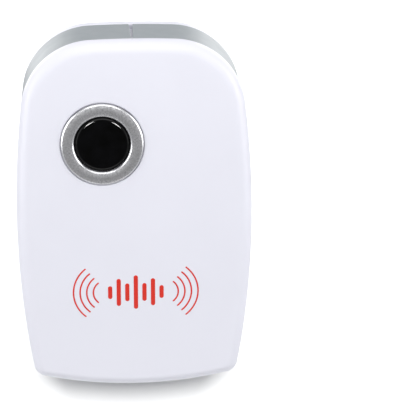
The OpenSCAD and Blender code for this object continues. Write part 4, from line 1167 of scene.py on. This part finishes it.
class REPELLER_OT_label(bpy.types.Operator):
    """Finishes the blank rating label"""

    bl_idname = "repeller.label"
    bl_label = "Rating label"

    FRAME_IN, FRAME_HALF = 0.9, 0.1

    def execute(self, context):
        dress(self.foil(), "rating_label")
        return {"FINISHED"}

    def foil(self):
        """Matt silver polyester film: fine rolled lines across it, a soft metallic sheen, a darker
        hairline frame near its edge, and nothing printed inside. The frame is where the larger of the
        two distances past the label's half size has one value."""
        sockets = {"Metallic": 0.55, "Roughness": 0.42, "Coat Weight": 0.15}
        made, tree, shader = finish("Matt silver film", "#C9CBCD", sockets)
        lay(tree, shader, grain(tree, 0.25, (200, 1, 1)), "#B4B7BA", 0.7)
        film = shader.inputs["Base Color"].links[0].from_socket
        local, half = from_middle(tree, "rating_label")
        size = put(tree, "ShaderNodeVectorMath", {0: local}, operation="ABSOLUTE")
        parts = put(tree, "ShaderNodeSeparateXYZ", {0: size.outputs[0]})
        far_x, far_z = (
            put(tree, "ShaderNodeMath", {0: parts.outputs[axis], 1: half[axis]}, operation="SUBTRACT")
            for axis in (0, 2)
        )
        span = {0: far_x.outputs[0], 1: far_z.outputs[0]}
        edge = put(tree, "ShaderNodeMath", span, operation="MAXIMUM").outputs[0]
        span = {0: edge, 1: -self.FRAME_IN * MM, 2: self.FRAME_HALF * MM}
        line = put(tree, "ShaderNodeMath", span, operation="COMPARE").outputs[0]
        mix = put(tree, "ShaderNodeMix", {"Factor": line, 6: film, 7: shade("#3A3C3F")}, data_type="RGBA")
        tree.links.new(mix.outputs[2], shader.inputs["Base Color"])
        return made


class REPELLER_OT_holders(bpy.types.Operator):
    """Finishes the retainers, the inner screws, the wires and the sleeves"""

    bl_idname = "repeller.holders"
    bl_label = "Holders and wires"

    # Name, colour and other colour, roughness, grit and relief in millimetres, nodes
    PLASTICS = (
        # Moulded polystyrene: a warm white with an even soft gloss
        ("Moulded white polystyrene", "#E4E3DC", "#D9D8D0", 0.42, 0.3, 0.003, "lens_retainer led_spacer"),
        # Pressed resin with a wood filler: dull cream, mottled and a little rough
        ("Cream phenolic resin", "#E0D2B0", "#CDBD97", 0.5, 0.4, 0.006, "blade_retainer"),
        # Shrunk polyolefin tube: black with a low gloss, drawn tight
        ("Black shrunk sleeve", "#1B1B1C", "#262627", 0.38, 0.3, 0.003, "live_sleeve neutral_sleeve"),
        # Extruded PVC: a waxy skin with next to no relief
        ("Black PVC insulation", "#161616", "#222222", 0.45, 0.5, 0.002, "live_wire"),
        ("White PVC insulation", "#E8E8E2", "#DAD9D2", 0.45, 0.5, 0.002, "neutral_wire"),
        ("Red PVC insulation", "#B3150F", "#8E0F0B", 0.45, 0.5, 0.002, "sounder_wire_red"),
        ("Thin black PVC insulation", "#141414", "#202020", 0.45, 0.5, 0.002, "sounder_wire_black"),
    )
    # Barrel-plated zinc: a bluish grey, broken up by fine dull spots
    STEEL = (("Zinc-plated screw steel", "#BFC1C4", "#9FA2A6", 0.32, 0.3, "retainer_screws board_screws"),)

    def execute(self, context):
        dress_rows(moulded, self.PLASTICS)
        dress_rows(metal, self.STEEL)
        return {"FINISHED"}


class REPELLER_OT_board(bpy.types.Operator):
    """Finishes the circuit board and the parts that stand on it"""

    bl_idname = "repeller.board"
    bl_label = "Board and its parts"

    GLOSS = {"Coat Weight": 0.6, "Coat Roughness": 0.08}
    # Name, colour and other colour, roughness, grit and relief in millimetres, clear coat, nodes
    PLASTICS = (
        # Cement coat that stands heat: chalky grey-green with a sandy grit
        ("Flameproof cement coat", "#9BA694", "#87927F", 0.6, 0.35, 0.012, "fuse_resistor"),
        # Polyester box from a polished mould: glossy yellow
        ("Yellow capacitor box", "#D8A91E", "#CB9A14", 0.3, 0.4, "dropper_capacitor"),
        # Epoxy filled with silica: a dull grey-black with a fine grit
        ("Black epoxy body", "#1A1A1B", "#262627", 0.45, 0.25, 0.006,
         "rectifier_diode_1 rectifier_diode_2 rectifier_diode_3 rectifier_diode_4 control_chip"),
        ("Black transistor epoxy", "#1C1C1D", "#29292A", 0.5, 0.25, 0.006,
         "drive_transistor_1 drive_transistor_2"),
        # Sintered ferrite: a dark grey stone with open grains
        ("Sintered ferrite", "#3A3A3C", "#2A2A2B", 0.6, 0.25, 0.015, "inductor_core"),
        # Glass bead and dipped lacquer: wet-looking under a clear coat, the lacquer a little lumpy
        ("Orange diode glass", "#C9622B", "#A8481C", 0.15, 1.0, 0.001, GLOSS, "zener_diode"),
        ("Dipped brown lacquer", "#B8722A", "#9E5E1E", 0.25, 0.8, 0.01, GLOSS,
         "timing_capacitor coupling_capacitor"),
    )
    # Solder that froze bright: small soft highlights
    SOLDER = (("Bright solder", "#C9CBD0", "#A9ABB2", 0.22, 0.4, "solder_joints"),)
    # Node: name, colour of the lacquer and colours of the bands
    RESISTORS = {
        "bleed_resistor": (
            "Blue metal-film lacquer", "#5E8FB8", ("#7A4A22", "#151515", "#C9A227", "#B0392B")
        ),
        "resistor_1": ("Tan carbon-film lacquer 1", "#D9BE8C", ("#7A4A22", "#151515", "#D96A1E", "#B8962E")),
        "resistor_2": ("Tan carbon-film lacquer 2", "#D8BD8B", ("#D8B21C", "#6A3D8F", "#B0392B", "#B8962E")),
        "resistor_3": ("Tan carbon-film lacquer 3", "#DABF8E", ("#B0392B", "#B0392B", "#7A4A22", "#B8962E")),
        "resistor_4": ("Tan carbon-film lacquer 4", "#D7BC89", ("#2F7A3A", "#2456A6", "#D96A1E", "#B8962E")),
    }
    BODY_L, END_SHARE, BAND_STARTS, BAND_SHARE = 6.3, 0.012, (0.14, 0.32, 0.5, 0.76), 0.1
    STRIPE_TURN, STRIPE_HALF, LID_T, WIRE_D = 0.6, 0.38, 0.45, 0.3

    def execute(self, context):
        dress_rows(moulded, self.PLASTICS)
        dress_rows(metal, self.SOLDER)
        dress(self.laminate(), "circuit_board")
        for node, look in self.RESISTORS.items():
            dress(self.banded(node, *look), node)
        for node in ("smoothing_capacitor", "filter_capacitor"):
            dress(self.sleeve(node), node)
        dress(self.winding(), "inductor_winding")
        dress(self.epoxy(), "led")
        return {"FINISHED"}

    def laminate(self):
        """Paper-and-phenol board: tan, with the fibres of the paper as short streaks in its tone."""
        made, tree, shader = finish("Phenolic laminate", "#B08850", {"IOR": 1.55, "Roughness": 0.45})
        lay(tree, shader, grain(tree, 0.5, (6, 1, 1), detail=4.0), "#9A7440", 0.8)
        lay(tree, shader, grain(tree, 0.4, (5, 1, 1), detail=3.0), depth=0.006)
        return made

    def banded(self, node, name, code, bands):
        """Lacquered resistor with painted colour bands round it, glossy and a little uneven. The place
        along X picks the colour: bare wire, lacquer, each band with lacquer after it, and bare wire."""
        sockets = {"Roughness": 0.28, "Coat Weight": 0.4, "Coat Roughness": 0.12}
        made, tree, shader = finish(name, code, sockets)
        local = from_middle(tree, node)[0]
        x = put(tree, "ShaderNodeSeparateXYZ", {0: local}).outputs[0]
        half = self.BODY_L * MM / 2
        share = put(tree, "ShaderNodeMapRange", {"Value": x, "From Min": -half, "From Max": half})
        ramp = put(tree, "ShaderNodeValToRGB", {0: share.outputs[0]})
        ramp.color_ramp.interpolation = "CONSTANT"
        stops = [(0.0, "#B9BBBF"), (self.END_SHARE, code)]
        for start, band in zip(self.BAND_STARTS, bands):
            stops += [(start, band), (start + self.BAND_SHARE, code)]
        stops.append((1 - self.END_SHARE, "#B9BBBF"))
        points = ramp.color_ramp.elements
        while len(points) < len(stops):
            points.new(1.0)
        for point, (start, paint) in zip(points, stops):
            point.position, point.color = start, shade(paint)
        tree.links.new(ramp.outputs[0], shader.inputs["Base Color"])
        lay(tree, shader, grain(tree, 0.8), rough=(0.22, 0.34))
        lay(tree, shader, grain(tree, 0.7), depth=0.006)
        return made

    def sleeve(self, node):
        """Dark blue shrunk sleeve of a can, glossy, with a pale stripe where the turn about Y lies near
        one angle, and a bare aluminium top."""
        name = "Blue can sleeve " + node.split("_")[0]
        made, tree, shader = finish(name, "#1D2440", {"Roughness": 0.26, "Coat Weight": 0.3})
        local, half = from_middle(tree, node)
        parts = put(tree, "ShaderNodeSeparateXYZ", {0: local})
        turn = put(tree, "ShaderNodeMath", {0: parts.outputs[2], 1: parts.outputs[0]}, operation="ARCTAN2")
        span = {0: turn.outputs[0], 1: self.STRIPE_TURN, 2: self.STRIPE_HALF}
        stripe = put(tree, "ShaderNodeMath", span, operation="COMPARE").outputs[0]
        span = {0: parts.outputs[1], 1: self.LID_T * MM - half.y}
        top = put(tree, "ShaderNodeMath", span, operation="LESS_THAN").outputs[0]
        colours = {"Factor": stripe, 6: shade("#1D2440"), 7: shade("#AEB4C2")}
        side = put(tree, "ShaderNodeMix", colours, data_type="RGBA")
        colours = {"Factor": top, 6: side.outputs[2], 7: shade("#B5B7BA")}
        lid = put(tree, "ShaderNodeMix", colours, data_type="RGBA")
        tree.links.new(lid.outputs[2], shader.inputs["Base Color"])
        tree.links.new(top, shader.inputs["Metallic"])
        lay(tree, shader, grain(tree, 0.9), depth=0.004)
        return made

    def winding(self):
        """Enamelled copper wire in level turns: round ridges one wire apart along the coil, with painted
        shade darkening the colour in the grooves between them. A wave repeats every pi / 10 over its scale."""
        sockets = {"Metallic": 1.0, "Roughness": 0.25, "Coat Weight": 0.5}
        made, tree, shader = finish("Enamelled copper wire", "#B4602A", sockets)
        place = put(tree, "ShaderNodeTexCoord").outputs["Object"]
        scale = math.pi / 10 / (self.WIRE_D * MM)
        links, bands = {"Vector": place, "Scale": scale}, {"bands_direction": "Y", "wave_profile": "SIN"}
        turns = put(tree, "ShaderNodeTexWave", links, **bands).outputs["Fac"]
        # Painted shade: the colour goes to a deep brown where the wave is low, in the grooves between the
        # turns
        colours = {"Factor": turns, 6: shade("#7A3A16"), 7: shade("#B4602A")}
        mix = put(tree, "ShaderNodeMix", colours, data_type="RGBA")
        tree.links.new(mix.outputs[2], shader.inputs["Base Color"])
        lay(tree, shader, turns, depth=0.12)
        return made

    def epoxy(self):
        """Clear epoxy of the light, slightly blue, with the faint schlieren of cast resin."""
        sockets = {"IOR": 1.54, "Roughness": 0.06, "Transmission Weight": 0.85}
        made, tree, shader = finish("Clear cast epoxy", "#DCE9F5", sockets)
        lay(tree, shader, grain(tree, 1.2), "#C8DDF0", 0.5)
        lay(tree, shader, grain(tree, 1.5, detail=1.0), depth=0.004)
        return made


class REPELLER_OT_sounder(bpy.types.Operator):
    """Finishes the piezo sounder's pieces"""

    bl_idname = "repeller.sounder"
    bl_label = "Sounder"

    # Name, colour and other colour, roughness, grit and relief in millimetres, nodes
    PLASTICS = (
        # Moulded ABS: black with a dull soft sheen
        ("Black sounder case", "#19191A", "#252526", 0.45, 0.3, 0.005, "sounder_case sounder_cover"),
        # Fired ceramic: matt off-white, like unglazed china
        ("Fired piezo ceramic", "#E4E0D2", "#D6D1C1", 0.55, 0.2, 0.006, "piezo_ceramic"),
        # Foamed polyethylene: dead matt, pitted by its cells
        ("Closed-cell foam", "#3B3B3E", "#2B2B2E", 0.85, 0.6, 0.12, "sounder_gasket"),
    )
    # Name, colour and other colour, roughness, grit, stretch, relief, swing of the roughness, node
    METALS = (
        # Rolled brass: yellow, with straight lines that draw its highlights out
        ("Rolled brass disc", "#D8B25A", "#C29A42", 0.25, 0.2, (30, 1, 1), 0.002, 0.08, "piezo_plate"),
        # Spun aluminium: a pale soft shine
        ("Spun aluminium cone", "#D2D3D6", "#BEC0C4", 0.24, 0.25, (1, 1, 1), 0.004, 0.06, "resonator_cone"),
    )

    def execute(self, context):
        dress_rows(moulded, self.PLASTICS)
        dress_rows(metal, self.METALS)
        return {"FINISHED"}


# --- Panel and running -----------------------------------------------------------------


# The stage comes last, because two of its lamps light only the window
OPERATORS = (
    REPELLER_OT_cover, REPELLER_OT_band, REPELLER_OT_rear, REPELLER_OT_ring,
    REPELLER_OT_lens, REPELLER_OT_mark, REPELLER_OT_blades, REPELLER_OT_screws, REPELLER_OT_label,
    REPELLER_OT_holders, REPELLER_OT_board, REPELLER_OT_sounder, REPELLER_OT_stage,
)


class REPELLER_PT_panel(bpy.types.Panel):
    """Lists the repeller's operators, sizes and colours"""

    bl_idname = "REPELLER_PT_panel"
    bl_label = "Plug-in Pest Repeller"
    bl_space_type = "VIEW_3D"
    bl_region_type = "UI"
    bl_category = "Repeller"

    def draw(self, context):
        column = self.layout.column(align=True)
        for operator in OPERATORS:
            column.operator(operator.bl_idname)
        for group in (context.scene.repeller_sizes, context.scene.repeller_colours):
            box = self.layout.box().column()
            for name in group.bl_rna.properties.keys():
                if name not in ("rna_type", "name"):
                    box.prop(group, name)


CLASSES = (RepellerSizes, RepellerColours, *OPERATORS, REPELLER_PT_panel)


def register():
    """Registers the classes and gives the scene its sizes and colours."""
    for item in CLASSES:
        bpy.utils.register_class(item)
    bpy.types.Scene.repeller_sizes = PointerProperty(type=RepellerSizes)
    bpy.types.Scene.repeller_colours = PointerProperty(type=RepellerColours)


def unregister():
    """Takes back what register did, in the opposite order."""
    del bpy.types.Scene.repeller_colours
    del bpy.types.Scene.repeller_sizes
    for item in reversed(CLASSES):
        bpy.utils.unregister_class(item)


def main():
    """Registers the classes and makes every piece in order."""
    register()
    for operator in OPERATORS:
        group, name = operator.bl_idname.split(".")
        getattr(getattr(bpy.ops, group), name)()


if __name__ == "__main__":
    main()
